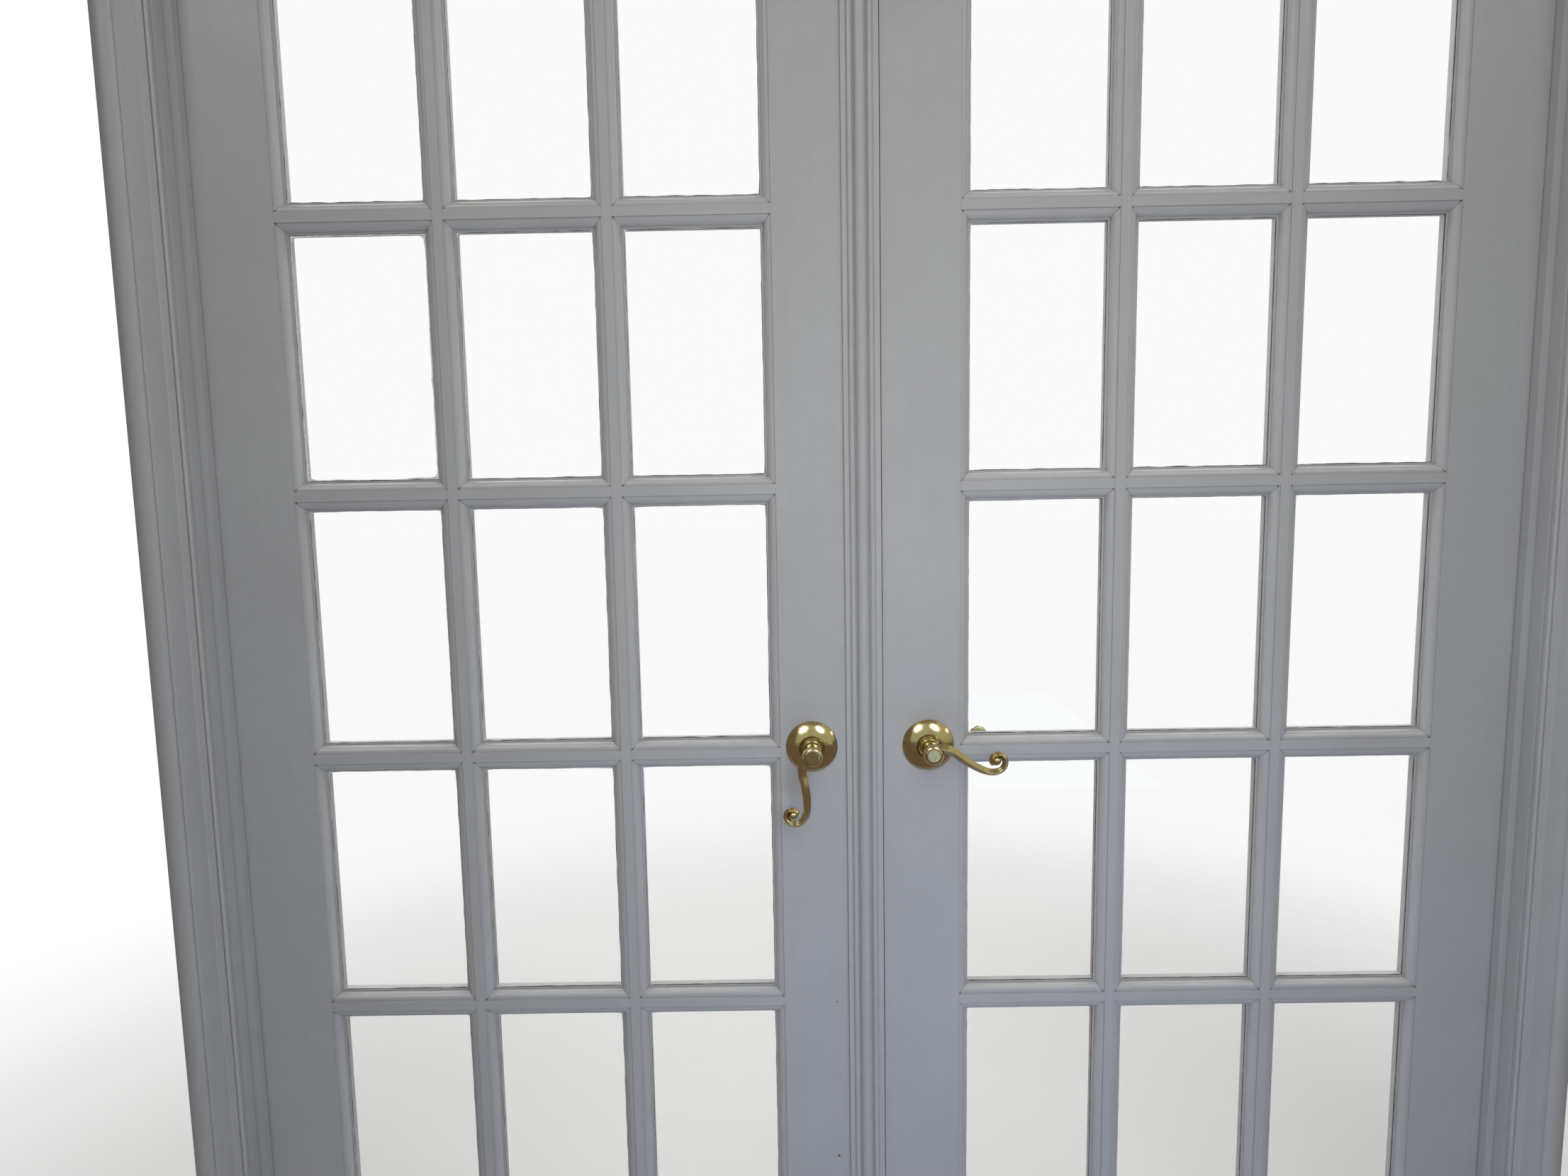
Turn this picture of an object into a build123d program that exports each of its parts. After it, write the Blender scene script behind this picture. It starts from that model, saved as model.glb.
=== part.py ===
from build123d import *
import math
import os

# French doors with their frame: two wooden leaves of fifteen lites, hung in a jamb with moulded casings.
# +X is the viewer's right, +Y points away from the viewer, the way the leaves swing, and +Z is up.
# The origin is on the floor, midway between the jambs, at the middle of the leaves' thickness.

# Leaves
leaf_width = 813.0
leaf_height = 2032.0
leaf_thickness = 35.0
floor_gap = 10.0
lite_columns = 3
lite_rows = 5
bar_flat = 12.7
meeting_stile_width = 112.0
hinge_stile_width = 115.7
bottom_rail_height = 241.3
top_rail_height = 118.8

# Ovolo worked on the front edge of every stile, rail and bar
sticking_width = 12.7
quirk_land = 1.2
quirk_depth = 1.6
sight_fillet = 2.6
sight_edge = 1.2

# Glass and the beads that hold it from the back
glass_thickness = 3.0
glass_edge_clearance = 1.5
bead_edge = 9.0
bead_top = 4.2

# Meeting edge: the left leaf's astragal
meeting_gap = 2.2
astragal_stem = 32.6
astragal_lap = 12.8
cap_fillet_height = 4.6
cap_fillet_width = 6.4
cap_bead_width = 7.6
cap_bead_rise = 3.4
cap_crown_height = 10.6
cap_groove_width = 0.9
cap_groove_rise = 0.3
cap_stop_clearance = 2.0
cap_lip = 1.0

# Frame
hinge_gap = 3.0
head_gap = 3.0
jamb_thickness = 19.0
jamb_lead = 32.0
head_housing = 6.0
stop_thickness = 10.0
stop_width = 12.7
stop_clearance = 1.0

# Casing, with its profile's breaks measured from the inner edge
casing_width = 63.5
casing_thickness = 17.5
front_reveal = 3.0
back_reveal = 6.5
casing_bead_width = 4.8
casing_bead_height = 7.2
casing_bead_shoulder = 4.5
casing_bead_quirk = 0.8
casing_step_at = 13.2
casing_step_height = 9.0
casing_step_fall = 1.2
casing_field_swell = 0.9
casing_nosing_at = 35.2
casing_nosing_height = 14.2
casing_nosing_shoulder = 12.6
casing_nosing_half = 1.2
casing_nosing_quirk = 0.9
casing_crown_at = 50.8
casing_bevel_width = 2.0
casing_bevel_height = 1.6
casing_outer_edge = 13.0

# Butt hinges
hinges_per_leaf = 3
hinge_height = 89.0
hinge_plate_thickness = 2.3
hinge_plate_reach = 28.5
knuckle_radius = 5.3
pin_radius = 3.0
pin_clearance = 0.05
pin_head_radius = 4.6
pin_head_height = 2.6
pin_throw = 9.5
knuckle_gap = 0.4
barrel_clearance = 0.7
top_hinge_drop = 178.0
bottom_hinge_rise = 254.0

# Levers and roses
handle_height = 924.0
backset = 58.3
cross_bore_radius = 27.0
rose_radius = 33.5
rose_rim = 1.0
rose_wall = 1.4
rose_shoulder_radius = 25.8
rose_shoulder_height = 6.9
rose_crest_radius = 17.0
rose_crest_height = 10.8
rose_groove_radius = 13.6
rose_groove_depth = 2.4
rose_collar_wall = 2.25
rose_collar_height = 15.0
rose_collar_rounding = 1.2
rose_ledge_height = 6.6
neck_radius = 9.0
neck_clearance = 0.35
neck_inset = 3.0
hub_radius = 12.8
hub_length = 18.0
hub_rounding = 5.0
hub_back_rounding = 1.4
lever_projection = 52.0
arm_drop = 5.8
arm_width = 12.0
arm_tip_width = 6.0
arm_taper_power = 1.3
arm_ridge_share = 0.46
arm_back_share = 0.42
arm_stations = 30
arm_points = [(-3.0, 7.4), (20.0, 5.6), (38.0, -6.4), (56.0, -17.4), (76.0, -23.2)]
arm_start_direction = (1.0, 0.1)
arm_end_direction = (0.3, 1.0)
scroll_centre = (79.0, -8.8)
scroll_end_radius = 5.1
scroll_start_angle = -102.0
scroll_turn = 360.0
scroll_steps = 9
scroll_ball_radius = 5.5
left_lever_drop = 65.0
spindle_size = 8.0
spindle_clearance = 0.15
spindle_inset = 20.0

# Tubular latch of the right leaf
latch_case_radius = 11.0
latch_case_wall = 1.4
latch_case_length = 70.0
latch_bore_clearance = 0.3
faceplate_width = 22.0
faceplate_height = 57.0
faceplate_thickness = 2.2
bolt_thickness = 11.5
bolt_height = 14.0
bolt_projection = 9.5
bolt_body_length = 18.0
bolt_bevel = 6.5
bolt_clearance = 0.4
bolt_tail_radius = 3.0
bolt_tail_length = 20.0
latch_hub_radius = 6.6
latch_hub_clearance = 0.35
latch_hub_overhang = 1.0
strike_pocket_depth = 13.0
strike_pocket_margin = 1.5
strike_lip_height = 30.0
strike_lip_overhang = 1.5

# Flush bolts of the left leaf
flush_plate_width = 19.0
flush_plate_height = 150.0
flush_plate_thickness = 2.4
flush_rod_size = 9.0
flush_rod_clearance = 0.5
flush_rod_chamfer = 1.5
flush_rod_length = 130.0
flush_rod_depth = 13.0
flush_tip_setback = 1.0
flush_throw = 16.0
thumb_width = 7.0
thumb_height = 12.0
thumb_rise = 22.0
thumb_clearance = 0.5
head_strike_length = 40.0
head_strike_width = 22.0
head_strike_thickness = 1.6
head_strike_margin = 0.9

# Places worked out from the sizes above
front_y = -leaf_thickness / 2
back_y = leaf_thickness / 2
jamb_front_y = front_y - jamb_lead
bar_width = bar_flat + 2 * sticking_width
ovolo_radius = sticking_width - quirk_land - sight_fillet
sticking_depth = quirk_depth + ovolo_radius + sight_edge
glass_back = sticking_depth + glass_thickness
stile_edge_x = (astragal_stem + meeting_gap) / 2
hinge_edge_x = stile_edge_x + leaf_width
jamb_face_x = hinge_edge_x + hinge_gap
meeting_flat = meeting_stile_width - sticking_width
hinge_flat = hinge_stile_width - sticking_width
bottom_flat = bottom_rail_height - sticking_width
top_flat = top_rail_height - sticking_width
lites_width = leaf_width - meeting_stile_width - hinge_stile_width
lites_height = leaf_height - bottom_rail_height - top_rail_height
lite_width = (lites_width - (lite_columns - 1) * bar_width) / lite_columns
lite_height = (lites_height - (lite_rows - 1) * bar_width) / lite_rows
leaf_bottom_z = floor_gap
leaf_top_z = floor_gap + leaf_height
sight_left_x = stile_edge_x + meeting_stile_width
sight_right_x = sight_left_x + lites_width
sight_bottom_z = leaf_bottom_z + bottom_rail_height
sight_top_z = sight_bottom_z + lites_height
head_face_z = leaf_top_z + head_gap
pin_x = hinge_edge_x + hinge_gap / 2
pin_y = back_y + pin_throw
spindle_x = stile_edge_x + backset
astragal_right_x = astragal_stem - stile_edge_x
astragal_left_x = -stile_edge_x - astragal_lap
flush_rod_x = astragal_right_x - flush_rod_depth
hinge_heights = [
    leaf_bottom_z + bottom_hinge_rise + hinge_height / 2,
    leaf_bottom_z + leaf_height / 2,
    leaf_top_z - top_hinge_drop - hinge_height / 2,
]


def closed_face(*curves):
    """Face inside a ring of connected curves."""
    edges = []
    for curve in curves:
        edges.extend(curve.edges())
    return make_face(edges)


def block(low, high):
    """Box between two corners."""
    size = [high[i] - low[i] for i in range(3)]
    middle = [(high[i] + low[i]) / 2 for i in range(3)]
    return Pos(*middle) * Box(*size)


def rod(radius, start, end):
    """Round bar between two points on a line along an axis."""
    path = Vector(*end) - Vector(*start)
    plane = Plane(origin=start, z_dir=path)
    return extrude(plane * Circle(radius), amount=path.length)


def group(solids):
    """One node made of several separate solids."""
    return Compound(children=list(solids))


def save(shape, node):
    export_step(shape, f"parts/{node}.step")


def to_left(shape):
    """The left leaf and jamb are mirror images of the right ones."""
    return shape.mirror(Plane.YZ)


def to_back(shape):
    """What is on both faces of a leaf is mirrored through the middle of its thickness."""
    return shape.mirror(Plane.XZ)


# Sections of the leaves' members. Local X runs across the member, local Y is the depth from the front face.


def stuck_edge(at, side):
    """Quirk, ovolo and sight edge from the flat's edge at `at` down to the glass, on side +1 or -1."""
    land = at + side * quirk_land
    round_end = land + side * ovolo_radius
    sight = at + side * sticking_width
    diagonal = ovolo_radius * (1 - math.cos(math.pi / 4))
    ovolo_bottom = quirk_depth + ovolo_radius
    return [
        Polyline((at, 0), (at, quirk_depth), (land, quirk_depth)),
        ThreePointArc(
            (land, quirk_depth),
            (round_end - side * diagonal, quirk_depth + diagonal),
            (round_end, ovolo_bottom),
        ),
        Polyline(
            (round_end, ovolo_bottom),
            (sight, ovolo_bottom),
            (sight, sticking_depth),
            (at, sticking_depth),
            (at, leaf_thickness),
        ),
    ]


def edge_member_section(flat):
    """Stile or rail: flat from its outer edge at 0, stuck on the inner edge."""
    back = Polyline((flat, leaf_thickness), (0, leaf_thickness), (0, 0), (flat, 0))
    return closed_face(*stuck_edge(flat, 1), back)


def bar_section():
    """Glazing bar: stuck on both edges, centred on local X."""
    half = bar_flat / 2
    front = Line((-half, 0), (half, 0))
    back = Line((half, leaf_thickness), (-half, leaf_thickness))
    return closed_face(front, *stuck_edge(half, 1), back, *stuck_edge(-half, -1))


def upright(section, x, z_low, z_high, facing=1):
    """Extrude a section up from z_low, with local X along +X or -X."""
    if facing > 0:
        plane = Plane(origin=(x, front_y, z_low), x_dir=(1, 0, 0), z_dir=(0, 0, 1))
        return extrude(plane * section, amount=z_high - z_low)
    plane = Plane(origin=(x, front_y, z_low), x_dir=(-1, 0, 0), z_dir=(0, 0, -1))
    return extrude(plane * section, amount=-(z_high - z_low))


def level(section, z, x_low, x_high, facing=1):
    """Extrude a section along X, with local X along +Z or -Z."""
    if facing > 0:
        plane = Plane(origin=(x_low, front_y, z), x_dir=(0, 0, 1), z_dir=(-1, 0, 0))
        return extrude(plane * section, amount=-(x_high - x_low))
    plane = Plane(origin=(x_low, front_y, z), x_dir=(0, 0, -1), z_dir=(1, 0, 0))
    return extrude(plane * section, amount=x_high - x_low)


# Stiles, rails and bars of the right leaf. Each rail and bar is coped over the members that it meets.


def leaf_members():
    meeting_stile = upright(edge_member_section(meeting_flat), stile_edge_x, leaf_bottom_z, leaf_top_z)
    hinge_stile = upright(edge_member_section(hinge_flat), hinge_edge_x, leaf_bottom_z, leaf_top_z, facing=-1)
    flat_left_x = sight_left_x - sticking_width
    flat_right_x = sight_right_x + sticking_width
    bottom_rail = level(edge_member_section(bottom_flat), leaf_bottom_z, flat_left_x, flat_right_x)
    bottom_rail = bottom_rail - meeting_stile - hinge_stile
    top_rail = level(edge_member_section(top_flat), leaf_top_z, flat_left_x, flat_right_x, facing=-1)
    top_rail = top_rail - meeting_stile - hinge_stile
    verticals = []
    for column in range(1, lite_columns):
        x = sight_left_x + column * (lite_width + bar_width) - bar_width / 2
        stock = upright(bar_section(), x, sight_bottom_z - sticking_width, sight_top_z + sticking_width)
        verticals.append(stock - bottom_rail - top_rail)
    return meeting_stile, hinge_stile, bottom_rail, top_rail, verticals


def cross_bar():
    """One bar between two uprights, centred on the origin's X and Z and coped over the uprights' ovolos."""
    half = lite_width / 2 + sticking_width
    stock = level(bar_section(), 0, -half, half)
    reach = bar_width
    upright_piece = upright(edge_member_section(bar_flat), -half - bar_flat, -reach, reach)
    return stock - upright_piece - to_left(upright_piece)


def lite_centres():
    """Middle of each lite of the right leaf, column by column."""
    for column in range(lite_columns):
        for row in range(lite_rows):
            x = sight_left_x + lite_width / 2 + column * (lite_width + bar_width)
            z = sight_bottom_z + lite_height / 2 + row * (lite_height + bar_width)
            yield x, z


def cross_bars():
    bar = cross_bar()
    drop = (lite_height + bar_width) / 2
    bars = []
    for x, z in lite_centres():
        if z - lite_height / 2 > sight_bottom_z + drop / 2:
            bars.append(Pos(x, 0, z - drop) * bar)
    return bars


def panes():
    """Panes lie against the back of the ovolos, short of the rebates by their edge clearance."""
    width = lite_width + 2 * (sticking_width - glass_edge_clearance)
    height = lite_height + 2 * (sticking_width - glass_edge_clearance)
    y = front_y + sticking_depth + glass_thickness / 2
    return [Pos(x, y, z) * Box(width, glass_thickness, height) for x, z in lite_centres()]


def bead(length):
    """Mitred bead along X under the origin, with its sight edge on Z = 0."""
    section = Polyline(
        (0, glass_back),
        (-sticking_width, glass_back),
        (-sticking_width, leaf_thickness),
        (-sticking_width + bead_top, leaf_thickness),
        (0, glass_back + bead_edge),
        (0, glass_back),
    )
    half = length / 2
    outer = half + sticking_width
    stock = level(closed_face(section), 0, -outer, outer)
    mitre = Polyline((half, 0), (outer, -sticking_width), (outer, 0), (half, 0))
    cutter = extrude(Plane.XZ * closed_face(mitre), amount=leaf_thickness, both=True)
    return stock - cutter - to_left(cutter)


def beads():
    level_bead = bead(lite_width)
    upright_bead = Rot(0, 90, 0) * bead(lite_height)
    pieces = []
    for x, z in lite_centres():
        pieces.append(Pos(x, 0, z - lite_height / 2) * level_bead)
        pieces.append(Pos(x, 0, z + lite_height / 2) * level_bead.mirror(Plane.XY))
        pieces.append(Pos(x - lite_width / 2, 0, z) * upright_bead)
        pieces.append(Pos(x + lite_width / 2, 0, z) * to_left(upright_bead))
    return pieces


# Butt hinges: three barrels of two fixed knuckles and one turning knuckle, on the right side


def knuckle_spans(z_middle):
    """Heights of the three knuckles, from the lowest."""
    low = z_middle - hinge_height / 2
    third = hinge_height / 3
    spans = []
    for index in range(3):
        start = low + index * third + (knuckle_gap / 2 if index > 0 else 0)
        end = low + (index + 1) * third - (knuckle_gap / 2 if index < 2 else 0)
        spans.append((start, end))
    return spans


def hinge_half(z_middle, indexes, face_x, side):
    """Plate let in flush with face_x, on side +1 (jamb) or -1 (leaf), with its knuckles round the pin."""
    plate_x = sorted((face_x, face_x + side * hinge_plate_thickness))
    y_low = back_y - hinge_plate_reach
    y_plate = pin_y - knuckle_radius - barrel_clearance
    z_low = z_middle - hinge_height / 2
    half = block((plate_x[0], y_low, z_low), (plate_x[1], y_plate, z_low + hinge_height))
    for index in indexes:
        z_start, z_end = knuckle_spans(z_middle)[index]
        strap = block((plate_x[0], y_plate, z_start), (plate_x[1], pin_y, z_end))
        barrel = rod(knuckle_radius, (pin_x, pin_y, z_start), (pin_x, pin_y, z_end))
        half = half + strap + barrel
    bore = rod(
        pin_radius + pin_clearance,
        (pin_x, pin_y, z_low - knuckle_gap),
        (pin_x, pin_y, z_low + hinge_height + knuckle_gap),
    )
    return half - bore


def hinge_pin(z_middle):
    z_low = z_middle - hinge_height / 2
    z_high = z_middle + hinge_height / 2
    shank = rod(pin_radius, (pin_x, pin_y, z_low), (pin_x, pin_y, z_high))
    head = rod(pin_head_radius, (pin_x, pin_y, z_high), (pin_x, pin_y, z_high + pin_head_height))
    return shank + chamfer(head.faces().sort_by(Axis.Z)[-1].edges(), pin_head_height / 2)


def hinge_gains(face_x, side):
    """Shallow recesses that the plates lie in."""
    cuts = []
    plate_x = sorted((face_x, face_x + side * hinge_plate_thickness))
    for z in hinge_heights:
        low = (plate_x[0], back_y - hinge_plate_reach, z - hinge_height / 2)
        high = (plate_x[1], back_y, z + hinge_height / 2)
        cuts.append(block(low, high))
    return cuts


# Frame


def side_jamb():
    top = head_face_z + jamb_thickness
    jamb = block((jamb_face_x, jamb_front_y, 0), (jamb_face_x + jamb_thickness, back_y, top))
    housing = block((jamb_face_x, jamb_front_y, head_face_z), (jamb_face_x + head_housing, back_y, top))
    jamb = jamb - housing
    for gain in hinge_gains(jamb_face_x, 1):
        jamb = jamb - gain
    return jamb


def head_jamb():
    half = jamb_face_x + head_housing
    jamb = block((-half, jamb_front_y, head_face_z), (half, back_y, head_face_z + jamb_thickness))
    socket = flush_rod_blank(flush_rod_clearance, head_face_z, head_face_z + flush_throw)
    return jamb - head_strike_blank() - socket


def head_strike_blank():
    low = (flush_rod_x - head_strike_length / 2, -head_strike_width / 2, head_face_z)
    high = (flush_rod_x + head_strike_length / 2, head_strike_width / 2, head_face_z + head_strike_thickness)
    return block(low, high)


def head_strike():
    return head_strike_blank() - flush_rod_blank(
        head_strike_margin, head_face_z, head_face_z + head_strike_thickness
    )


def side_stop():
    stop_back = front_y - stop_clearance
    low = (jamb_face_x - stop_thickness, stop_back - stop_width, 0)
    high = (jamb_face_x, stop_back, head_face_z - stop_thickness)
    return block(low, high)


def head_stop():
    stop_back = front_y - stop_clearance
    low = (-jamb_face_x, stop_back - stop_width, head_face_z - stop_thickness)
    high = (jamb_face_x, stop_back, head_face_z)
    return block(low, high)


def casing_section():
    """Moulded casing: local X from the inner edge, local Y the height above the wall."""
    bead_start = (0, casing_bead_shoulder)
    bead_end = (casing_bead_width, casing_bead_shoulder)
    quirk = casing_bead_quirk
    step_foot = (casing_step_at - quirk, casing_step_height - casing_step_fall)
    step_top = (casing_step_at, casing_step_height)
    field_middle = ((casing_step_at + casing_nosing_at) / 2, casing_step_height + casing_field_swell)
    nosing_left = casing_nosing_at - casing_nosing_half
    nosing_right = casing_nosing_at + casing_nosing_half
    field_end = (nosing_left - quirk, casing_nosing_shoulder - casing_nosing_quirk)
    crown_start = (nosing_right + casing_nosing_quirk, casing_nosing_shoulder)
    crown_end = (casing_width - casing_bevel_width, casing_outer_edge + casing_bevel_height)
    return closed_face(
        Line((0, 0), bead_start),
        ThreePointArc(bead_start, (casing_bead_width / 2, casing_bead_height), bead_end),
        Polyline(
            bead_end,
            (casing_bead_width + quirk, casing_bead_height - quirk),
            step_foot,
            step_top,
        ),
        ThreePointArc(step_top, field_middle, field_end),
        Line(field_end, (nosing_left, casing_nosing_shoulder)),
        ThreePointArc(
            (nosing_left, casing_nosing_shoulder),
            (casing_nosing_at, casing_nosing_height),
            (nosing_right, casing_nosing_shoulder),
        ),
        Line((nosing_right, casing_nosing_shoulder), crown_start),
        ThreePointArc(crown_start, (casing_crown_at, casing_thickness), crown_end),
        Polyline(crown_end, (casing_width, casing_outer_edge), (casing_width, 0), (0, 0)),
    )


def mitre_wedge(inner_x, inner_z, depth):
    """Prism above the mitre line that runs out and up from the inner corner."""
    reach = 2 * casing_width
    line = Polyline(
        (inner_x - reach, inner_z - reach),
        (inner_x + reach, inner_z + reach),
        (inner_x - reach, inner_z + reach),
        (inner_x - reach, inner_z - reach),
    )
    return extrude(Plane.XZ * closed_face(line), amount=depth, both=True)


def casing_pieces(reveal, wall_y, side):
    """Right casing and head casing on the wall plane wall_y, proud towards -Y (side -1) or +Y (side +1)."""
    inner_x = jamb_face_x + reveal
    inner_z = head_face_z + reveal
    outer_x = inner_x + casing_width
    outer_z = inner_z + casing_width
    cut_depth = jamb_lead + leaf_thickness + 2 * casing_thickness
    wedge = mitre_wedge(inner_x, inner_z, cut_depth)
    leg_plane = Plane(origin=(inner_x, wall_y, 0), x_dir=(1, 0, 0), z_dir=(0, 0, side))
    leg = extrude(leg_plane * casing_section(), amount=side * outer_z) - wedge
    head_plane = Plane(origin=(0, wall_y, inner_z), x_dir=(0, 0, 1), z_dir=(-side, 0, 0))
    head = extrude(head_plane * casing_section(), amount=outer_x, both=True)
    keep = Polyline(
        (-inner_x, inner_z),
        (inner_x, inner_z),
        (outer_x, outer_z),
        (-outer_x, outer_z),
        (-inner_x, inner_z),
    )
    trapezium = extrude(Plane.XZ * closed_face(keep), amount=cut_depth, both=True)
    return leg, head & trapezium


# Astragal: a T on the left leaf's meeting edge, its cap moulded on the front


def astragal_section():
    """Plan section in X and Y, with the cap towards -Y."""
    left = astragal_left_x
    right = astragal_right_x
    face = front_y
    fillet_y = face - cap_fillet_height
    bead_y = fillet_y - cap_bead_rise
    crown_y = face - cap_crown_height
    bead_left = left + cap_fillet_width
    bead_right = bead_left + cap_bead_width
    crown_left = bead_right + cap_groove_width
    crown_right = right - cap_fillet_width - cap_bead_width - cap_groove_width
    bead2_left = crown_right + cap_groove_width
    bead2_right = right - cap_fillet_width
    groove_y = fillet_y - cap_groove_rise
    return closed_face(
        Polyline((left, face), (left, fillet_y), (bead_left, fillet_y)),
        ThreePointArc(
            (bead_left, fillet_y),
            ((bead_left + bead_right) / 2, bead_y),
            (bead_right, groove_y),
        ),
        Line((bead_right, groove_y), (crown_left, groove_y)),
        ThreePointArc(
            (crown_left, groove_y),
            ((crown_left + crown_right) / 2, crown_y),
            (crown_right, groove_y),
        ),
        Line((crown_right, groove_y), (bead2_left, groove_y)),
        ThreePointArc(
            (bead2_left, groove_y),
            ((bead2_left + bead2_right) / 2, bead_y),
            (bead2_right, fillet_y),
        ),
        Polyline(
            (bead2_right, fillet_y),
            (right + cap_lip, fillet_y),
            (right + cap_lip, face),
            (right, face),
            (right, back_y),
            (-stile_edge_x, back_y),
            (-stile_edge_x, face),
            (left, face),
        ),
    )


def flush_plate_blank(z_low):
    half = flush_plate_width / 2
    low = (astragal_right_x - flush_plate_thickness, -half, z_low)
    high = (astragal_right_x, half, z_low + flush_plate_height)
    return block(low, high)


def flush_rod_blank(margin, z_low, z_high):
    """Square bar of the flush bolt, or the hole for it with a margin all round."""
    half = flush_rod_size / 2 + margin
    return block((flush_rod_x - half, -half, z_low), (flush_rod_x + half, half, z_high))


def thumb_slot(z_low, margin):
    """Slot for the thumb piece over the bolt's whole travel."""
    half = thumb_width / 2 + margin
    low = (flush_rod_x, -half, z_low - margin)
    high = (astragal_right_x, half, z_low + thumb_height + flush_throw + margin)
    return block(low, high)


def flush_bolt_rod():
    """Top flush bolt, drawn back: a square bar with a thumb piece that stays inside its plate."""
    tip_z = leaf_top_z - flush_tip_setback
    low_z = tip_z - flush_rod_length
    bar = flush_rod_blank(0, low_z, tip_z)
    bar = chamfer(bar.faces().sort_by(Axis.Z)[-1].edges(), flush_rod_chamfer)
    thumb_low = low_z + thumb_rise
    thumb = block(
        (flush_rod_x, -thumb_width / 2, thumb_low),
        (astragal_right_x, thumb_width / 2, thumb_low + thumb_height),
    )
    return bar + thumb


def flush_thumb_low():
    return leaf_top_z - flush_tip_setback - flush_rod_length + thumb_rise


def flush_bolt_plate():
    plate = flush_plate_blank(leaf_top_z - flush_plate_height)
    return plate - thumb_slot(flush_thumb_low(), thumb_clearance)


def flush_bolt_pocket():
    """What is cut from the astragal for the top flush bolt: plate recess, channel and thumb slot."""
    low_z = leaf_top_z - flush_tip_setback - flush_rod_length - flush_rod_clearance
    channel = flush_rod_blank(flush_rod_clearance, low_z, leaf_top_z)
    recess = flush_plate_blank(leaf_top_z - flush_plate_height)
    return channel + recess + thumb_slot(flush_thumb_low(), thumb_clearance)


def to_leaf_bottom(shape):
    """The bottom flush bolt is the top one turned over about the middle of the leaf's height."""
    middle = leaf_bottom_z + leaf_height / 2
    return shape.mirror(Plane.XY.offset(middle))


def latch_strike_blank():
    """Plate in the astragal's edge, with a lip out past the back face that the closing bolt rides on."""
    inside_x = astragal_right_x - faceplate_thickness
    half_y = faceplate_width / 2
    half_z = faceplate_height / 2
    lip_half = strike_lip_height / 2
    plate_low = (inside_x, -half_y, handle_height - half_z)
    plate_high = (astragal_right_x, half_y, handle_height + half_z)
    lip_low = (inside_x, half_y, handle_height - lip_half)
    lip_high = (astragal_right_x, back_y + strike_lip_overhang, handle_height + lip_half)
    return block(plate_low, plate_high) + block(lip_low, lip_high)


def bolt_pocket(depth):
    """Hole for the latch bolt, from the astragal's edge inwards."""
    half_y = bolt_thickness / 2 + strike_pocket_margin
    half_z = bolt_height / 2 + strike_pocket_margin
    low = (astragal_right_x - depth, -half_y, handle_height - half_z)
    high = (astragal_right_x, half_y, handle_height + half_z)
    return block(low, high)


def astragal():
    """The strip runs the leaf's full height, with its cap cut short below the head stop."""
    section = astragal_section()
    strip = extrude(Plane.XY.offset(leaf_bottom_z) * section, amount=leaf_height)
    cap_top_z = head_face_z - stop_thickness - cap_stop_clearance
    strip = strip - block(
        (astragal_left_x, front_y - cap_crown_height, cap_top_z),
        (astragal_right_x + cap_lip, front_y, leaf_top_z),
    )
    pocket = flush_bolt_pocket()
    strip = strip - pocket - to_leaf_bottom(pocket)
    return strip - latch_strike_blank() - bolt_pocket(strike_pocket_depth)


# Roses, levers and spindle, on the front of the right leaf, with the spindle's axis on the local origin


def face_plane(height):
    """Plane parallel to the leaf's front, at a height above it, facing the viewer."""
    return Plane(origin=(0, front_y - height, 0), x_dir=(1, 0, 0), z_dir=(0, -1, 0))


def turned(profile):
    """Revolve a profile of radius and height above the leaf's front about the spindle's axis."""
    plane = Plane(origin=(0, front_y, 0), x_dir=(1, 0, 0), z_dir=(0, 0, 1))
    flipped = profile.mirror(Plane.XZ)
    return revolve(plane * flipped, Axis((0, 0, 0), (0, 1, 0)), 360)


def rose():
    """Domed rose, hollow behind, with a groove and a rounded collar round the lever's neck."""
    hole = neck_radius + neck_clearance
    inner_foot = rose_radius - rose_wall
    inner_ledge = rose_groove_radius - rose_wall
    collar_radius = hole + rose_collar_wall
    groove_height = rose_crest_height - rose_groove_depth
    collar_top = collar_radius - rose_collar_rounding
    collar_edge = rose_collar_height - rose_collar_rounding
    diagonal = rose_collar_rounding * (1 - math.cos(math.pi / 4))
    inner_shoulder = (rose_shoulder_radius - rose_wall, rose_shoulder_height - rose_wall)
    collar_middle = (collar_radius - diagonal, rose_collar_height - diagonal)
    profile = closed_face(
        Line((hole, rose_ledge_height), (inner_ledge, rose_ledge_height)),
        ThreePointArc((inner_ledge, rose_ledge_height), inner_shoulder, (inner_foot, 0)),
        Polyline((inner_foot, 0), (rose_radius, 0), (rose_radius, rose_rim)),
        ThreePointArc(
            (rose_radius, rose_rim),
            (rose_shoulder_radius, rose_shoulder_height),
            (rose_crest_radius, rose_crest_height),
        ),
        Polyline(
            (rose_crest_radius, rose_crest_height),
            (rose_groove_radius, groove_height),
            (collar_radius, groove_height),
            (collar_radius, collar_edge),
        ),
        ThreePointArc((collar_radius, collar_edge), collar_middle, (collar_top, rose_collar_height)),
        Polyline(
            (collar_top, rose_collar_height),
            (hole, rose_collar_height),
            (hole, rose_ledge_height),
        ),
    )
    return turned(profile)


def scroll_path():
    """Centre line of the arm in its own plane: out from the hub, down in an S, and round the scroll."""
    centre_x, centre_z = scroll_centre
    start_radius = centre_z - arm_points[-1][1]
    spiral = []
    for step in range(1, scroll_steps + 1):
        share = step / scroll_steps
        angle = math.radians(scroll_start_angle + scroll_turn * share)
        radius = start_radius * (scroll_end_radius / start_radius) ** share
        spiral.append((centre_x + radius * math.cos(angle), centre_z + radius * math.sin(angle)))
    return arm_points + spiral


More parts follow.
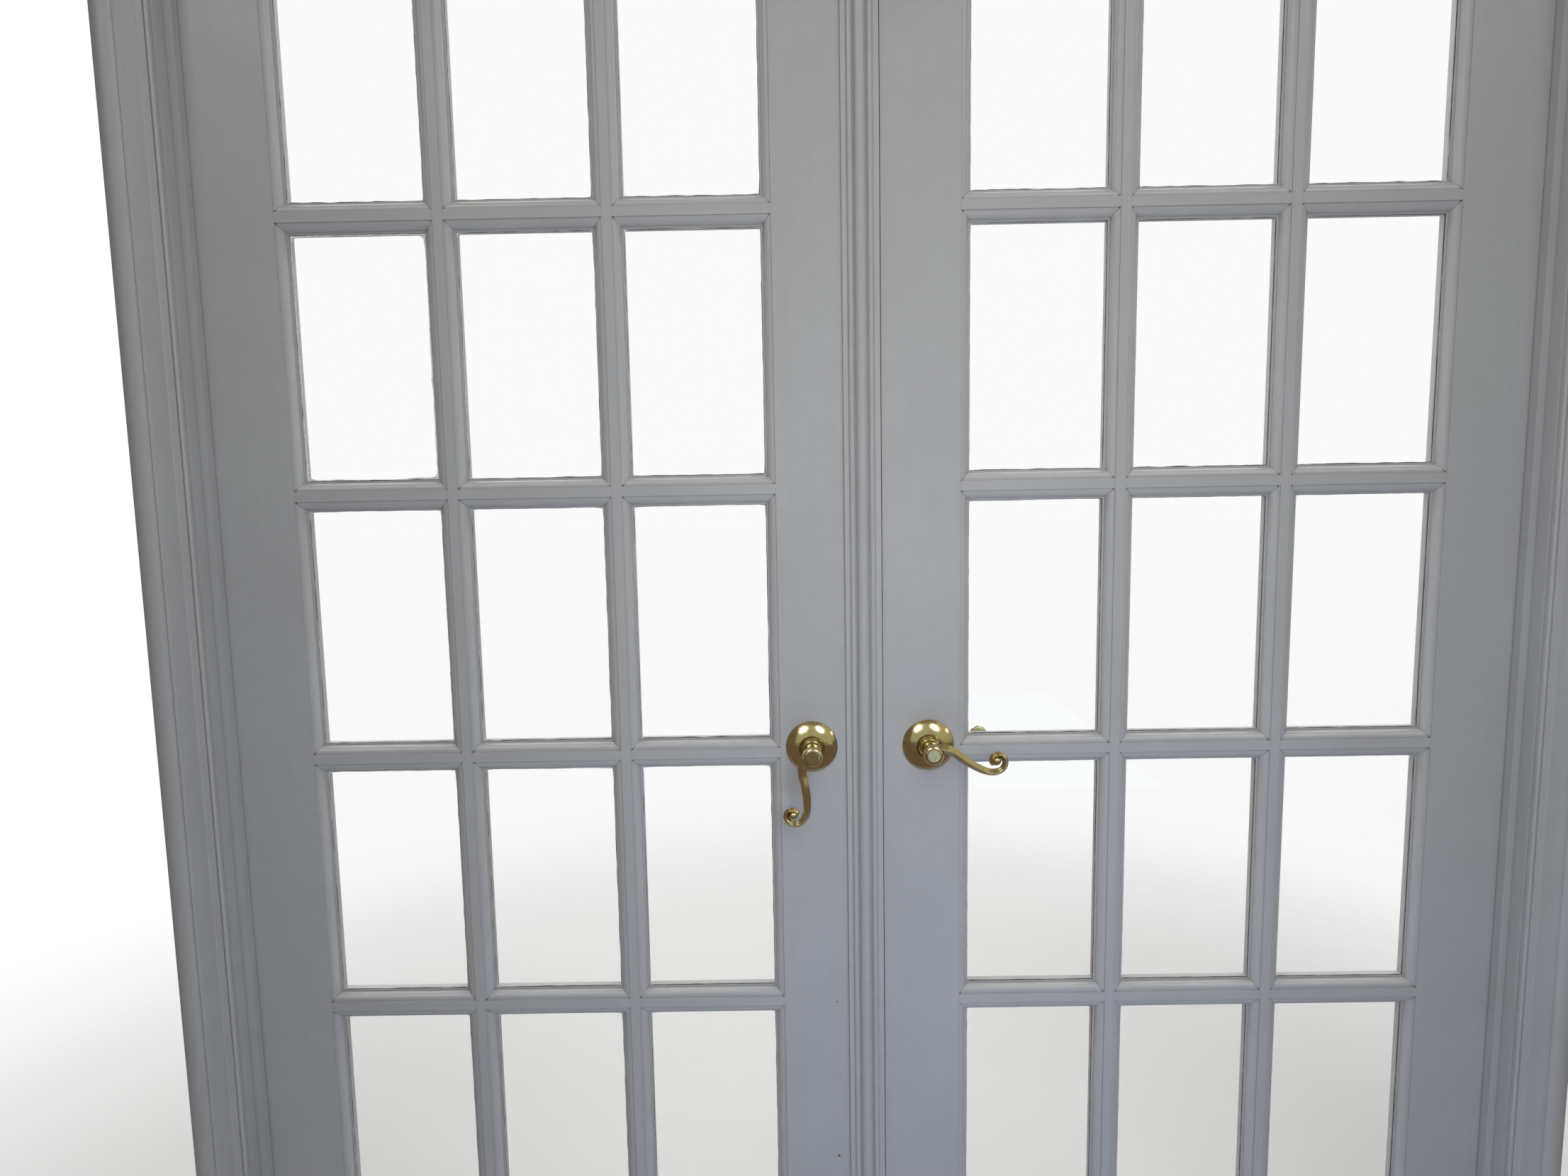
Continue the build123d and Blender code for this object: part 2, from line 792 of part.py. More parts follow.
def arm_section(width):
    """Section of the arm: two flats meet in a ridge on the front (local Y), and the back is round."""
    side = width / 2
    ridge = (0, width * arm_ridge_share)
    return closed_face(
        Polyline((-side, 0), ridge, (side, 0)),
        ThreePointArc((side, 0), (0, -width * arm_back_share), (-side, 0)),
    )


def lever():
    """Neck, hub and scrolled arm, with the neck bored square for the spindle."""
    hub_low = lever_projection - hub_length
    neck = extrude(face_plane(neck_inset) * Circle(neck_radius), amount=hub_low - neck_inset)
    hub = extrude(face_plane(hub_low) * Circle(hub_radius), amount=hub_length)
    back_edge, front_edge = hub.edges().filter_by(GeomType.CIRCLE).sort_by(Axis.Y, reverse=True)
    hub = fillet(front_edge, hub_rounding)
    hub = fillet(hub.edges().filter_by(GeomType.CIRCLE).sort_by(Axis.Y)[-1], hub_back_rounding)
    arm_plane = face_plane(lever_projection - arm_drop)
    line = arm_plane * Spline(*scroll_path(), tangents=[arm_start_direction, arm_end_direction])
    sections = []
    for station in range(arm_stations):
        share = station / (arm_stations - 1)
        width = arm_width + (arm_tip_width - arm_width) * share**arm_taper_power
        along = line.tangent_at(share)
        across = arm_plane.z_dir.cross(along)
        sections.append(Plane(origin=line.position_at(share), x_dir=across, z_dir=along) * arm_section(width))
    arm = loft(sections)
    ball = arm_plane * Pos(*scroll_centre) * Sphere(scroll_ball_radius)
    socket_size = spindle_size + 2 * spindle_clearance
    socket = extrude(face_plane(neck_inset) * Rectangle(socket_size, socket_size), amount=spindle_inset)
    return neck + hub + arm + ball - socket


def spindle():
    half = leaf_thickness / 2 + neck_inset + spindle_inset - spindle_clearance
    size = spindle_size / 2
    return block((-size, -half, -size), (size, half, size))


def cross_bore():
    """Bore through a leaf for the spindle and the rose's bosses."""
    return rod(cross_bore_radius, (spindle_x, front_y, handle_height), (spindle_x, back_y, handle_height))


# Latch of the right leaf


def faceplate_blank():
    low = (stile_edge_x, -faceplate_width / 2, handle_height - faceplate_height / 2)
    high = (stile_edge_x + faceplate_thickness, faceplate_width / 2, handle_height + faceplate_height / 2)
    return block(low, high)


def latch_bore():
    """Edge bore for the latch case, as far as the cross bore."""
    start = (stile_edge_x, 0, handle_height)
    end = (stile_edge_x + latch_case_length, 0, handle_height)
    return rod(latch_case_radius + latch_bore_clearance, start, end)


def latch_hub():
    """Turning hub on the spindle, with its ends borne in the latch case."""
    half = latch_case_radius + latch_hub_overhang
    start = (spindle_x, -half, handle_height)
    end = (spindle_x, half, handle_height)
    size = spindle_size / 2 + spindle_clearance
    square = block(
        (spindle_x - size, -half, handle_height - size),
        (spindle_x + size, half, handle_height + size),
    )
    return rod(latch_hub_radius, start, end) - square


def latch_case():
    """Face plate with a tube behind it that guides the bolt and bears the hub."""
    plate = faceplate_blank()
    tube_start = (stile_edge_x + faceplate_thickness, 0, handle_height)
    tube_end = (stile_edge_x + latch_case_length, 0, handle_height)
    cavity_end = (stile_edge_x + latch_case_length - latch_case_wall, 0, handle_height)
    tube = rod(latch_case_radius, tube_start, tube_end)
    cavity = rod(latch_case_radius - latch_case_wall, tube_start, cavity_end)
    hub_reach = latch_case_radius * 2
    hub_hole = rod(
        latch_hub_radius + latch_hub_clearance,
        (spindle_x, -hub_reach, handle_height),
        (spindle_x, hub_reach, handle_height),
    )
    half_y = bolt_thickness / 2 + bolt_clearance
    half_z = bolt_height / 2 + bolt_clearance
    nose = block(
        (stile_edge_x, -half_y, handle_height - half_z),
        (stile_edge_x + faceplate_thickness, half_y, handle_height + half_z),
    )
    return plate + (tube - cavity - hub_hole) - nose


def latch_bolt():
    """Bolt thrown into the strike: its nose is bevelled on the front, which meets the strike's lip first."""
    nose_x = stile_edge_x - bolt_projection
    back_x = stile_edge_x + bolt_body_length
    half_y = bolt_thickness / 2
    half_z = bolt_height / 2
    plan = Polyline(
        (nose_x, half_y),
        (back_x, half_y),
        (back_x, -half_y),
        (nose_x + bolt_bevel, -half_y),
        (nose_x, bolt_bevel - half_y),
        (nose_x, half_y),
    )
    head = extrude(Plane.XY.offset(handle_height - half_z) * closed_face(plan), amount=bolt_height)
    tail = rod(bolt_tail_radius, (back_x, 0, handle_height), (back_x + bolt_tail_length, 0, handle_height))
    return head + tail


# Write every node


def write_frame():
    save(head_jamb(), "head_jamb")
    save(side_jamb(), "right_jamb")
    save(to_left(side_jamb()), "left_jamb")
    save(head_stop(), "head_stop")
    save(side_stop(), "right_stop")
    save(to_left(side_stop()), "left_stop")
    for name, reveal, wall_y, side in (
        ("front", front_reveal, jamb_front_y, -1),
        ("back", back_reveal, back_y, 1),
    ):
        leg, head = casing_pieces(reveal, wall_y, side)
        save(leg, f"{name}_right_casing")
        save(to_left(leg), f"{name}_left_casing")
        save(head, f"{name}_head_casing")
    jamb_halves = [hinge_half(z, (0, 2), jamb_face_x, 1) for z in hinge_heights]
    pins = [hinge_pin(z) for z in hinge_heights]
    save(group(jamb_halves), "right_jamb_hinge_halves")
    save(group(to_left(half) for half in jamb_halves), "left_jamb_hinge_halves")
    save(group(pins), "right_hinge_pins")
    save(group(to_left(pin) for pin in pins), "left_hinge_pins")
    save(head_strike(), "head_bolt_strike")


def write_leaves():
    meeting_stile, hinge_stile, bottom_rail, top_rail, verticals = leaf_members()
    meeting_stile = meeting_stile - cross_bore()
    latched_stile = meeting_stile - latch_bore() - faceplate_blank()
    for gain in hinge_gains(hinge_edge_x, -1):
        hinge_stile = hinge_stile - gain
    bars = cross_bars()
    glass = panes()
    glazing = beads()
    leaf_halves = [hinge_half(z, (1,), hinge_edge_x, -1) for z in hinge_heights]
    save(latched_stile, "right_meeting_stile")
    save(to_left(meeting_stile), "left_meeting_stile")
    singles = {"hinge_stile": hinge_stile, "bottom_rail": bottom_rail, "top_rail": top_rail}
    for name, shape in singles.items():
        save(shape, f"right_{name}")
        save(to_left(shape), f"left_{name}")
    groups = {
        "upright_bars": verticals,
        "cross_bars": bars,
        "panes": glass,
        "glazing_beads": glazing,
        "leaf_hinge_halves": leaf_halves,
    }
    for name, shapes in groups.items():
        save(group(shapes), f"right_{name}")
        save(group(to_left(shape) for shape in shapes), f"left_{name}")


def write_meeting_edge():
    save(astragal(), "astragal")
    save(latch_strike_blank() - bolt_pocket(faceplate_thickness), "latch_strike")
    save(flush_bolt_plate(), "top_flush_bolt_plate")
    save(flush_bolt_rod(), "top_flush_bolt")
    save(to_leaf_bottom(flush_bolt_plate()), "bottom_flush_bolt_plate")
    save(to_leaf_bottom(flush_bolt_rod()), "bottom_flush_bolt")


def write_handles():
    front_rose = rose()
    front_lever = lever()
    bar = spindle()
    at_right = Pos(spindle_x, 0, handle_height)
    at_left = Pos(-spindle_x, 0, handle_height)
    dropped = Rot(0, -left_lever_drop, 0)
    save(at_right * front_rose, "right_front_rose")
    save(at_right * to_back(front_rose), "right_back_rose")
    save(at_right * front_lever, "right_front_lever")
    save(at_right * to_back(front_lever), "right_back_lever")
    save(at_right * bar, "right_spindle")
    save(at_left * front_rose, "left_front_rose")
    save(at_left * to_back(front_rose), "left_back_rose")
    save(at_left * dropped * to_left(front_lever), "left_front_lever")
    save(at_left * dropped * to_back(to_left(front_lever)), "left_back_lever")
    save(at_left * dropped * bar, "left_spindle")
    save(latch_case(), "latch_case")
    save(latch_bolt(), "latch_bolt")
    save(latch_hub(), "latch_hub")


os.makedirs("parts", exist_ok=True)
write_frame()
write_leaves()
write_meeting_edge()
write_handles()
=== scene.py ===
import bmesh
import bpy
import math
from mathutils import Matrix, Vector, noise


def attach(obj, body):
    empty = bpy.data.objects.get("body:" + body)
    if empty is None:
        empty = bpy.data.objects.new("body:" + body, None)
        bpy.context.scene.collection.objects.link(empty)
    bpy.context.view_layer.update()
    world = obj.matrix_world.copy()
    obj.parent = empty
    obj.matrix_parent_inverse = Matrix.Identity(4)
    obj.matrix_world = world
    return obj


# Painted french doors with their frame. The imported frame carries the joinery, glass and hardware.
# This script gives them their finishes, and adds the paint laps on the glass, screws and small marks.

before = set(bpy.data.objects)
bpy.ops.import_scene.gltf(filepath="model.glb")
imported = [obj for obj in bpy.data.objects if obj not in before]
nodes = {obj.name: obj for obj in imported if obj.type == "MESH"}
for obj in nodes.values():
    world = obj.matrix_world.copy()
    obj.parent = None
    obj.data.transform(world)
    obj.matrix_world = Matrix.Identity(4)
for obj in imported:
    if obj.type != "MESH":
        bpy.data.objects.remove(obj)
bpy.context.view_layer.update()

MM = 0.001

# Places on the right leaf and its jamb, which the left leaf and jamb mirror
LITE_COLUMNS = 3
LITE_ROWS = 5
LITE_WIDTH = 169.7 * MM
LITE_HEIGHT = 303.9 * MM
BAR_WIDTH = 38.1 * MM
SIGHT_LEFT_X = 129.4 * MM
SIGHT_BOTTOM_Z = 251.3 * MM
LEAF_FRONT_Y = -17.5 * MM
LEAF_MIDDLE_Z = 1026.0 * MM
GLASS_FRONT_Y = -5.8 * MM
STILE_EDGE_X = 17.4 * MM
HANDLE_Z = 924.0 * MM
HINGE_EDGE_X = 830.4 * MM
JAMB_FACE_X = 833.4 * MM
HEAD_FACE_Z = 2045.0 * MM
HINGE_HEIGHTS = (308.5 * MM, LEAF_MIDDLE_Z, 1819.5 * MM)

# Places on the left leaf's meeting edge, which has no mirror image
ASTRAGAL_RIGHT_X = 15.2 * MM
FLUSH_ROD_X = 2.2 * MM

PAINT = (0.385, 0.389, 0.392)
PAINT_SHADE = (0.318, 0.316, 0.312)
# Grime and painted shade, both laid into the paint where occlusion finds a crevice
GRIME_AND_CREVICE_SHADE = (0.150, 0.138, 0.122)
# The laps' paint, made lighter than on the wood: painted light shining through the thin paint from behind
LAP_LIT_FROM_BEHIND = (0.790, 0.795, 0.800)
LAP_THIN_LIT_FROM_BEHIND = (0.600, 0.600, 0.590)
# Painted shadow of the gap where the glass meets the wood
PUTTY_SHADOW = (0.046, 0.038, 0.033)
PUTTY_SHADOW_PALE = (0.090, 0.075, 0.062)
CHIP_BROWN = (0.130, 0.085, 0.055)
CHIP_DARK = (0.070, 0.045, 0.030)
BRASS_BRIGHT = (0.630, 0.545, 0.310)
BRASS_AGED = (0.400, 0.310, 0.150)
ZINC = (0.520, 0.520, 0.510)
ZINC_DULL = (0.350, 0.352, 0.350)
GLASS_TINT = (0.975, 0.985, 0.982)
FLOOR_PALE = (0.800, 0.800, 0.795)
WHITE = (1.0, 1.0, 1.0)
AMBIENT_WHITE = (0.985, 0.990, 1.000)


def rgba(colour):
    """The colour as a socket takes it."""
    return (*colour, 1.0)


# Node helpers


def add(tree, kind, **settings):
    """A node in the tree, with its properties set by name."""
    made = tree.nodes.new(kind)
    for name, value in settings.items():
        setattr(made, name, value)
    return made


def link(tree, source, target):
    """Wire from an output socket to an input socket."""
    tree.links.new(source, target)


def object_place(tree):
    """Place on the object, in metres."""
    return add(tree, "ShaderNodeTexCoord").outputs["Object"]


def noise_field(tree, vector, scale, detail, roughness=0.55):
    """Noise over the given coordinates."""
    field = add(tree, "ShaderNodeTexNoise")
    field.inputs["Scale"].default_value = scale
    field.inputs["Detail"].default_value = detail
    field.inputs["Roughness"].default_value = roughness
    link(tree, vector, field.inputs["Vector"])
    return field.outputs["Fac"]


def spread(tree, value, low, high, to_low=0.0, to_high=1.0):
    """The value's range from low to high, mapped to a new range and held inside it."""
    mapped = add(tree, "ShaderNodeMapRange", clamp=True, interpolation_type="SMOOTHSTEP")
    mapped.inputs["From Min"].default_value = low
    mapped.inputs["From Max"].default_value = high
    mapped.inputs["To Min"].default_value = to_low
    mapped.inputs["To Max"].default_value = to_high
    link(tree, value, mapped.inputs["Value"])
    return mapped.outputs["Result"]


def reckon(tree, operation, first, second):
    """Math on two sockets or numbers."""
    made = add(tree, "ShaderNodeMath", operation=operation)
    for socket, value in zip(made.inputs, (first, second)):
        if isinstance(value, (int, float)):
            socket.default_value = value
        else:
            link(tree, value, socket)
    return made.outputs["Value"]


def weighted_sum(tree, *parts):
    """Sum of several fields, each with its own weight."""
    total = None
    for field, weight in parts:
        share = reckon(tree, "MULTIPLY", field, weight)
        total = share if total is None else reckon(tree, "ADD", total, share)
    return total


def blend_colours(tree, share, first, second):
    """Mix of two colours or colour sockets by a share that changes over the surface."""
    made = add(tree, "ShaderNodeMix", data_type="RGBA")
    link(tree, share, made.inputs["Factor"])
    for socket, value in zip((made.inputs[6], made.inputs[7]), (first, second)):
        if isinstance(value, tuple):
            socket.default_value = rgba(value)
        else:
            link(tree, value, socket)
    return made.outputs[2]


def start_group(name, inputs, outputs):
    """Empty shader node group with its sockets."""
    group = bpy.data.node_groups.new(name, "ShaderNodeTree")
    for socket_name, kind, value in inputs:
        socket = group.interface.new_socket(socket_name, in_out="INPUT", socket_type=kind)
        socket.default_value = value
    for socket_name, kind in outputs:
        group.interface.new_socket(socket_name, in_out="OUTPUT", socket_type=kind)
    return group, add(group, "NodeGroupInput"), add(group, "NodeGroupOutput")


# Effects that the finishes share

CORNER_SAMPLES = 6
CREVICE_DARK, CREVICE_CLEAR = 0.25, 0.95


def softened_corners_group():
    """Softened corners: a normal rounded over the sharp arrises, and a mask of the crevices."""
    group, given, result = start_group(
        "softened_corners",
        [("Radius", "NodeSocketFloat", 0.8 * MM), ("Reach", "NodeSocketFloat", 6.0 * MM)],
        [("Normal", "NodeSocketVector"), ("Crevice", "NodeSocketFloat")],
    )
    rounded = add(group, "ShaderNodeBevel", samples=CORNER_SAMPLES)
    link(group, given.outputs["Radius"], rounded.inputs["Radius"])
    hollow = add(group, "ShaderNodeAmbientOcclusion", samples=CORNER_SAMPLES)
    link(group, given.outputs["Reach"], hollow.inputs["Distance"])
    crevice = spread(group, hollow.outputs["AO"], CREVICE_DARK, CREVICE_CLEAR, 1.0, 0.0)
    link(group, rounded.outputs["Normal"], result.inputs["Normal"])
    link(group, crevice, result.inputs["Crevice"])
    return group


UPRIGHT_STROKES = (240.0, 240.0, 7.0)
LEVEL_STROKES = (7.0, 240.0, 240.0)
PAINT_CLOUDS = 6.5
PAINT_MOTTLE = 55.0
ORANGE_PEEL = 210.0
SHADE_MOST = 0.42
PAINT_GLOSSY, PAINT_DULL = 0.33, 0.47


def brushed_paint_group():
    """Enamel laid on with a brush: streaks along the member, a little orange peel, slow changes of tone."""
    group, given, result = start_group(
        "brushed_paint",
        [
            ("Strokes", "NodeSocketVector", UPRIGHT_STROKES),
            ("Paint", "NodeSocketColor", rgba(PAINT)),
            ("Shade", "NodeSocketColor", rgba(PAINT_SHADE)),
        ],
        [("Colour", "NodeSocketColor"), ("Roughness", "NodeSocketFloat"), ("Height", "NodeSocketFloat")],
    )
    place = object_place(group)
    stretched = add(group, "ShaderNodeVectorMath", operation="MULTIPLY")
    link(group, place, stretched.inputs[0])
    link(group, given.outputs["Strokes"], stretched.inputs[1])
    streaks = noise_field(group, stretched.outputs["Vector"], 1.0, 3.0, 0.6)
    peel = noise_field(group, place, ORANGE_PEEL, 2.0)
    clouds = noise_field(group, place, PAINT_CLOUDS, 4.0, 0.6)
    mottle = noise_field(group, place, PAINT_MOTTLE, 3.0, 0.65)
    tone = weighted_sum(group, (clouds, 0.5), (mottle, 0.3), (streaks, 0.2))
    share = spread(group, tone, 0.34, 0.68, 0.0, SHADE_MOST)
    colour = blend_colours(group, share, given.outputs["Paint"], given.outputs["Shade"])
    link(group, colour, result.inputs["Colour"])
    link(group, spread(group, tone, 0.35, 0.65, PAINT_GLOSSY, PAINT_DULL), result.inputs["Roughness"])
    link(group, weighted_sum(group, (streaks, 0.7), (peel, 0.3)), result.inputs["Height"])
    return group


TARNISH_CLOUDS = 60.0
FINGERPRINTS = 320.0
SPECKS = 1500.0
TARNISH_IN_CLOUDS = 0.38
TARNISH_IN_CREVICES = 0.75
TARNISH_IN_SPECKS = 0.35


def aged_metal_group():
    """Handled metal: cloudy tarnish, fingerprints and fine specks, darker in the crevices."""
    group, given, result = start_group(
        "aged_metal",
        [
            ("Bright", "NodeSocketColor", rgba(BRASS_BRIGHT)),
            ("Aged", "NodeSocketColor", rgba(BRASS_AGED)),
            ("Crevice", "NodeSocketFloat", 0.0),
            ("Polish", "NodeSocketFloat", 0.14),
            ("Dull", "NodeSocketFloat", 0.30),
        ],
        [("Colour", "NodeSocketColor"), ("Roughness", "NodeSocketFloat"), ("Height", "NodeSocketFloat")],
    )
    place = object_place(group)
    clouds = noise_field(group, place, TARNISH_CLOUDS, 4.0, 0.6)
    prints = noise_field(group, place, FINGERPRINTS, 3.0, 0.7)
    specks = noise_field(group, place, SPECKS, 1.0)
    tarnish = spread(group, clouds, 0.42, 0.72, 0.0, TARNISH_IN_CLOUDS)
    crevices = reckon(group, "MULTIPLY", given.outputs["Crevice"], TARNISH_IN_CREVICES)
    tarnish = reckon(group, "ADD", tarnish, crevices)
    tarnish = reckon(group, "ADD", tarnish, spread(group, specks, 0.66, 0.74, 0.0, TARNISH_IN_SPECKS))
    tarnish = spread(group, tarnish, 0.0, 1.0)
    colour = blend_colours(group, tarnish, given.outputs["Bright"], given.outputs["Aged"])
    link(group, colour, result.inputs["Colour"])
    touched = spread(group, prints, 0.45, 0.65, 0.0, 0.5)
    dullness = reckon(group, "ADD", touched, reckon(group, "MULTIPLY", tarnish, 0.5))
    reach = reckon(group, "SUBTRACT", given.outputs["Dull"], given.outputs["Polish"])
    rough = reckon(group, "ADD", given.outputs["Polish"], reckon(group, "MULTIPLY", dullness, reach))
    link(group, rough, result.inputs["Roughness"])
    link(group, prints, result.inputs["Height"])
    return group


softened_corners = softened_corners_group()
brushed_paint = brushed_paint_group()
aged_metal = aged_metal_group()

# Finishes


def start_tree(name):
    """New material with an empty node tree and its output."""
    made = bpy.data.materials.new(name)
    made.use_nodes = True
    tree = made.node_tree
    tree.nodes.clear()
    return made, tree, add(tree, "ShaderNodeOutputMaterial")


def start_material(name):
    """New material with its Principled BSDF linked to the output."""
    made, tree, output = start_tree(name)
    shader = add(tree, "ShaderNodeBsdfPrincipled")
    link(tree, shader.outputs["BSDF"], output.inputs["Surface"])
    return made, tree, shader


def place_group(tree, group, **values):
    """A group node with its own values."""
    made = add(tree, "ShaderNodeGroup", node_tree=group)
    for name, value in values.items():
        made.inputs[name].default_value = value
    return made


def relief(tree, shader, height, distance, strength, normal=None):
    """Bump from a height, over a softened normal where there is one."""
    bump = add(tree, "ShaderNodeBump")
    bump.inputs["Strength"].default_value = strength
    bump.inputs["Distance"].default_value = distance
    link(tree, height, bump.inputs["Height"])
    if normal:
        link(tree, normal, bump.inputs["Normal"])
    link(tree, bump.outputs["Normal"], shader.inputs["Normal"])


def clear_where(tree, share, surface):
    """Lets the surface give way to nothing by a share, and links the mix to the output."""
    clear = add(tree, "ShaderNodeBsdfTransparent")
    mixed = add(tree, "ShaderNodeMixShader")
    output = next(n for n in tree.nodes if n.bl_idname == "ShaderNodeOutputMaterial")
    link(tree, share, mixed.inputs[0])
    link(tree, surface, mixed.inputs[1])
    link(tree, clear.outputs["BSDF"], mixed.inputs[2])
    link(tree, mixed.outputs["Shader"], output.inputs["Surface"])


PAINT_CORNER = 0.9 * MM
PAINT_CREVICE_REACH = 5.0 * MM
GRIME_AND_SHADE_SHARE = 0.20
STROKE_DEPTH = 0.22 * MM
STROKE_STRENGTH = 0.55


def painted(name, strokes):
    """Semi-gloss paint with strokes along the member, and grime with painted shade in its crevices."""
    made, tree, shader = start_material(name)
    corners = place_group(tree, softened_corners, Radius=PAINT_CORNER, Reach=PAINT_CREVICE_REACH)
    coat = place_group(tree, brushed_paint, Strokes=strokes, Paint=rgba(PAINT), Shade=rgba(PAINT_SHADE))
    # Darkens the paint in the crevices found by occlusion: painted shade there, tinted like grime
    grime_and_shade_share = reckon(tree, "MULTIPLY", corners.outputs["Crevice"], GRIME_AND_SHADE_SHARE)
    link(tree, blend_colours(tree, grime_and_shade_share, coat.outputs["Colour"], GRIME_AND_CREVICE_SHADE), shader.inputs["Base Color"])
    link(tree, coat.outputs["Roughness"], shader.inputs["Roughness"])
    relief(tree, shader, coat.outputs["Height"], STROKE_DEPTH, STROKE_STRENGTH, corners.outputs["Normal"])
    return made


METAL_CORNER = 0.6 * MM
METAL_CREVICE_REACH = 4.0 * MM
FINGERPRINT_DEPTH = 0.02 * MM
FINGERPRINT_STRENGTH = 0.25


def metal(name, bright, aged, polish, dull):
    """Polished or plated metal, handled and a little tarnished."""
    made, tree, shader = start_material(name)
    corners = place_group(tree, softened_corners, Radius=METAL_CORNER, Reach=METAL_CREVICE_REACH)
    finish = place_group(tree, aged_metal, Bright=rgba(bright), Aged=rgba(aged), Polish=polish, Dull=dull)
    link(tree, corners.outputs["Crevice"], finish.inputs["Crevice"])
    link(tree, finish.outputs["Colour"], shader.inputs["Base Color"])
    link(tree, finish.outputs["Roughness"], shader.inputs["Roughness"])
    prints = finish.outputs["Height"]
    relief(tree, shader, prints, FINGERPRINT_DEPTH, FINGERPRINT_STRENGTH, corners.outputs["Normal"])
    shader.inputs["Metallic"].default_value = 1.0
    return made


WIPE_TURN = math.radians(24.0)
WIPE_STRETCH = (14.0, 1.0, 2.2)
WIPE_ROUGHNESS = 0.035
GLASS_WAVES = 9.0
GLASS_WAVE_DEPTH = 0.6 * MM
GLASS_WAVE_STRENGTH = 0.05
GLASS_IOR = 1.5


def window_glass():
    """Clear float glass with faint wipe marks. Light that only casts shadows passes straight through."""
    made, tree, shader = start_material("window_glass")
    place = object_place(tree)
    turned = add(tree, "ShaderNodeMapping")
    turned.inputs["Rotation"].default_value = (0.0, WIPE_TURN, 0.0)
    turned.inputs["Scale"].default_value = WIPE_STRETCH
    link(tree, place, turned.inputs["Vector"])
    wipes = noise_field(tree, turned.outputs["Vector"], 1.6, 5.0, 0.62)
    link(tree, spread(tree, wipes, 0.50, 0.80, 0.0, WIPE_ROUGHNESS), shader.inputs["Roughness"])
    shader.inputs["Base Color"].default_value = rgba(GLASS_TINT)
    shader.inputs["Transmission Weight"].default_value = 1.0
    shader.inputs["IOR"].default_value = GLASS_IOR
    waves = noise_field(tree, place, GLASS_WAVES, 1.0)
    relief(tree, shader, waves, GLASS_WAVE_DEPTH, GLASS_WAVE_STRENGTH)
    path = add(tree, "ShaderNodeLightPath")
    clear_where(tree, path.outputs["Is Shadow Ray"], shader.outputs["BSDF"])
    return made


MATT_SWING = 0.08


def matt(name, light, dark, scale, rough):
    """Dull finish of a small mark: two tones in soft patches."""
    made, tree, shader = start_material(name)
    patches = noise_field(tree, object_place(tree), scale, 3.0, 0.6)
    link(tree, blend_colours(tree, spread(tree, patches, 0.35, 0.65), light, dark), shader.inputs["Base Color"])
    rough_range = (rough - MATT_SWING, rough + MATT_SWING)
    link(tree, spread(tree, patches, 0.3, 0.7, *rough_range), shader.inputs["Roughness"])
    return made


paint_upright = painted("paint_upright", UPRIGHT_STROKES)
paint_level = painted("paint_level", LEVEL_STROKES)
brass = metal("aged_brass", BRASS_BRIGHT, BRASS_AGED, 0.13, 0.30)
zinc = metal("zinc_plate", ZINC, ZINC_DULL, 0.26, 0.42)
glass = window_glass()
# The laps are the door's paint, lightened as painted light shining through them from behind
lap_paint_lit_from_behind = matt("paint_lapped_on_glass_lit_from_behind", LAP_LIT_FROM_BEHIND, LAP_THIN_LIT_FROM_BEHIND, 160.0, 0.45)
putty_shadow = matt("shadow_line_round_the_glass", PUTTY_SHADOW, PUTTY_SHADOW_PALE, 240.0, 0.75)
chip = matt("chipped_paint", CHIP_BROWN, CHIP_DARK, 900.0, 0.7)

# Finishes of the carried-over parts

LEVEL_PARTS = (
    "head_jamb", "head_stop", "front_head_casing", "back_head_casing",
    "left_bottom_rail", "left_top_rail", "left_cross_bars",
    "right_bottom_rail", "right_top_rail", "right_cross_bars",
    "left_glazing_beads", "right_glazing_beads",
)
UPRIGHT_PARTS = (
    "left_jamb", "right_jamb", "left_stop", "right_stop",
    "front_left_casing", "front_right_casing", "back_left_casing", "back_right_casing",
    "left_meeting_stile", "left_hinge_stile", "left_upright_bars",
    "right_meeting_stile", "right_hinge_stile", "right_upright_bars", "astragal",
)
BRASS_PARTS = (
    "left_front_rose", "left_back_rose", "right_front_rose", "right_back_rose",
    "left_front_lever", "left_back_lever", "right_front_lever", "right_back_lever",
    "left_jamb_hinge_halves", "right_jamb_hinge_halves", "left_leaf_hinge_halves", "right_leaf_hinge_halves",
    "left_hinge_pins", "right_hinge_pins", "latch_strike", "latch_bolt",
    "top_flush_bolt_plate", "bottom_flush_bolt_plate", "top_flush_bolt", "bottom_flush_bolt", "head_bolt_strike",
)
STEEL_PARTS = ("left_spindle", "right_spindle", "latch_case", "latch_hub")
GLASS_PARTS = ("left_panes", "right_panes")


def finish_parts(names, material):
    """Gives one finish to each of the named parts."""
    for name in names:
        slots = nodes[name].material_slots
        if not slots:
            nodes[name].data.materials.append(material)
        for slot in slots:
            slot.material = material


finish_parts(LEVEL_PARTS, paint_level)
finish_parts(UPRIGHT_PARTS, paint_upright)
finish_parts(BRASS_PARTS, brass)
finish_parts(STEEL_PARTS, zinc)
finish_parts(GLASS_PARTS, glass)


def keep_piece(shape, name, material, body):
    """Turns a finished bmesh into a piece that rides on a body."""
    bmesh.ops.recalc_face_normals(shape, faces=shape.faces)
    mesh = bpy.data.meshes.new(name)
    shape.to_mesh(mesh)
    shape.free()
    mesh.materials.append(material)
    piece = bpy.data.objects.new(name, mesh)
    bpy.context.scene.collection.objects.link(piece)
    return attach(piece, body)


def join_part(shape, part):
    """Adds one finished part to the bmesh of a whole piece."""
    mesh = bpy.data.meshes.new("part")
    part.to_mesh(mesh)
    part.free()
    shape.from_mesh(mesh)
    bpy.data.meshes.remove(mesh)


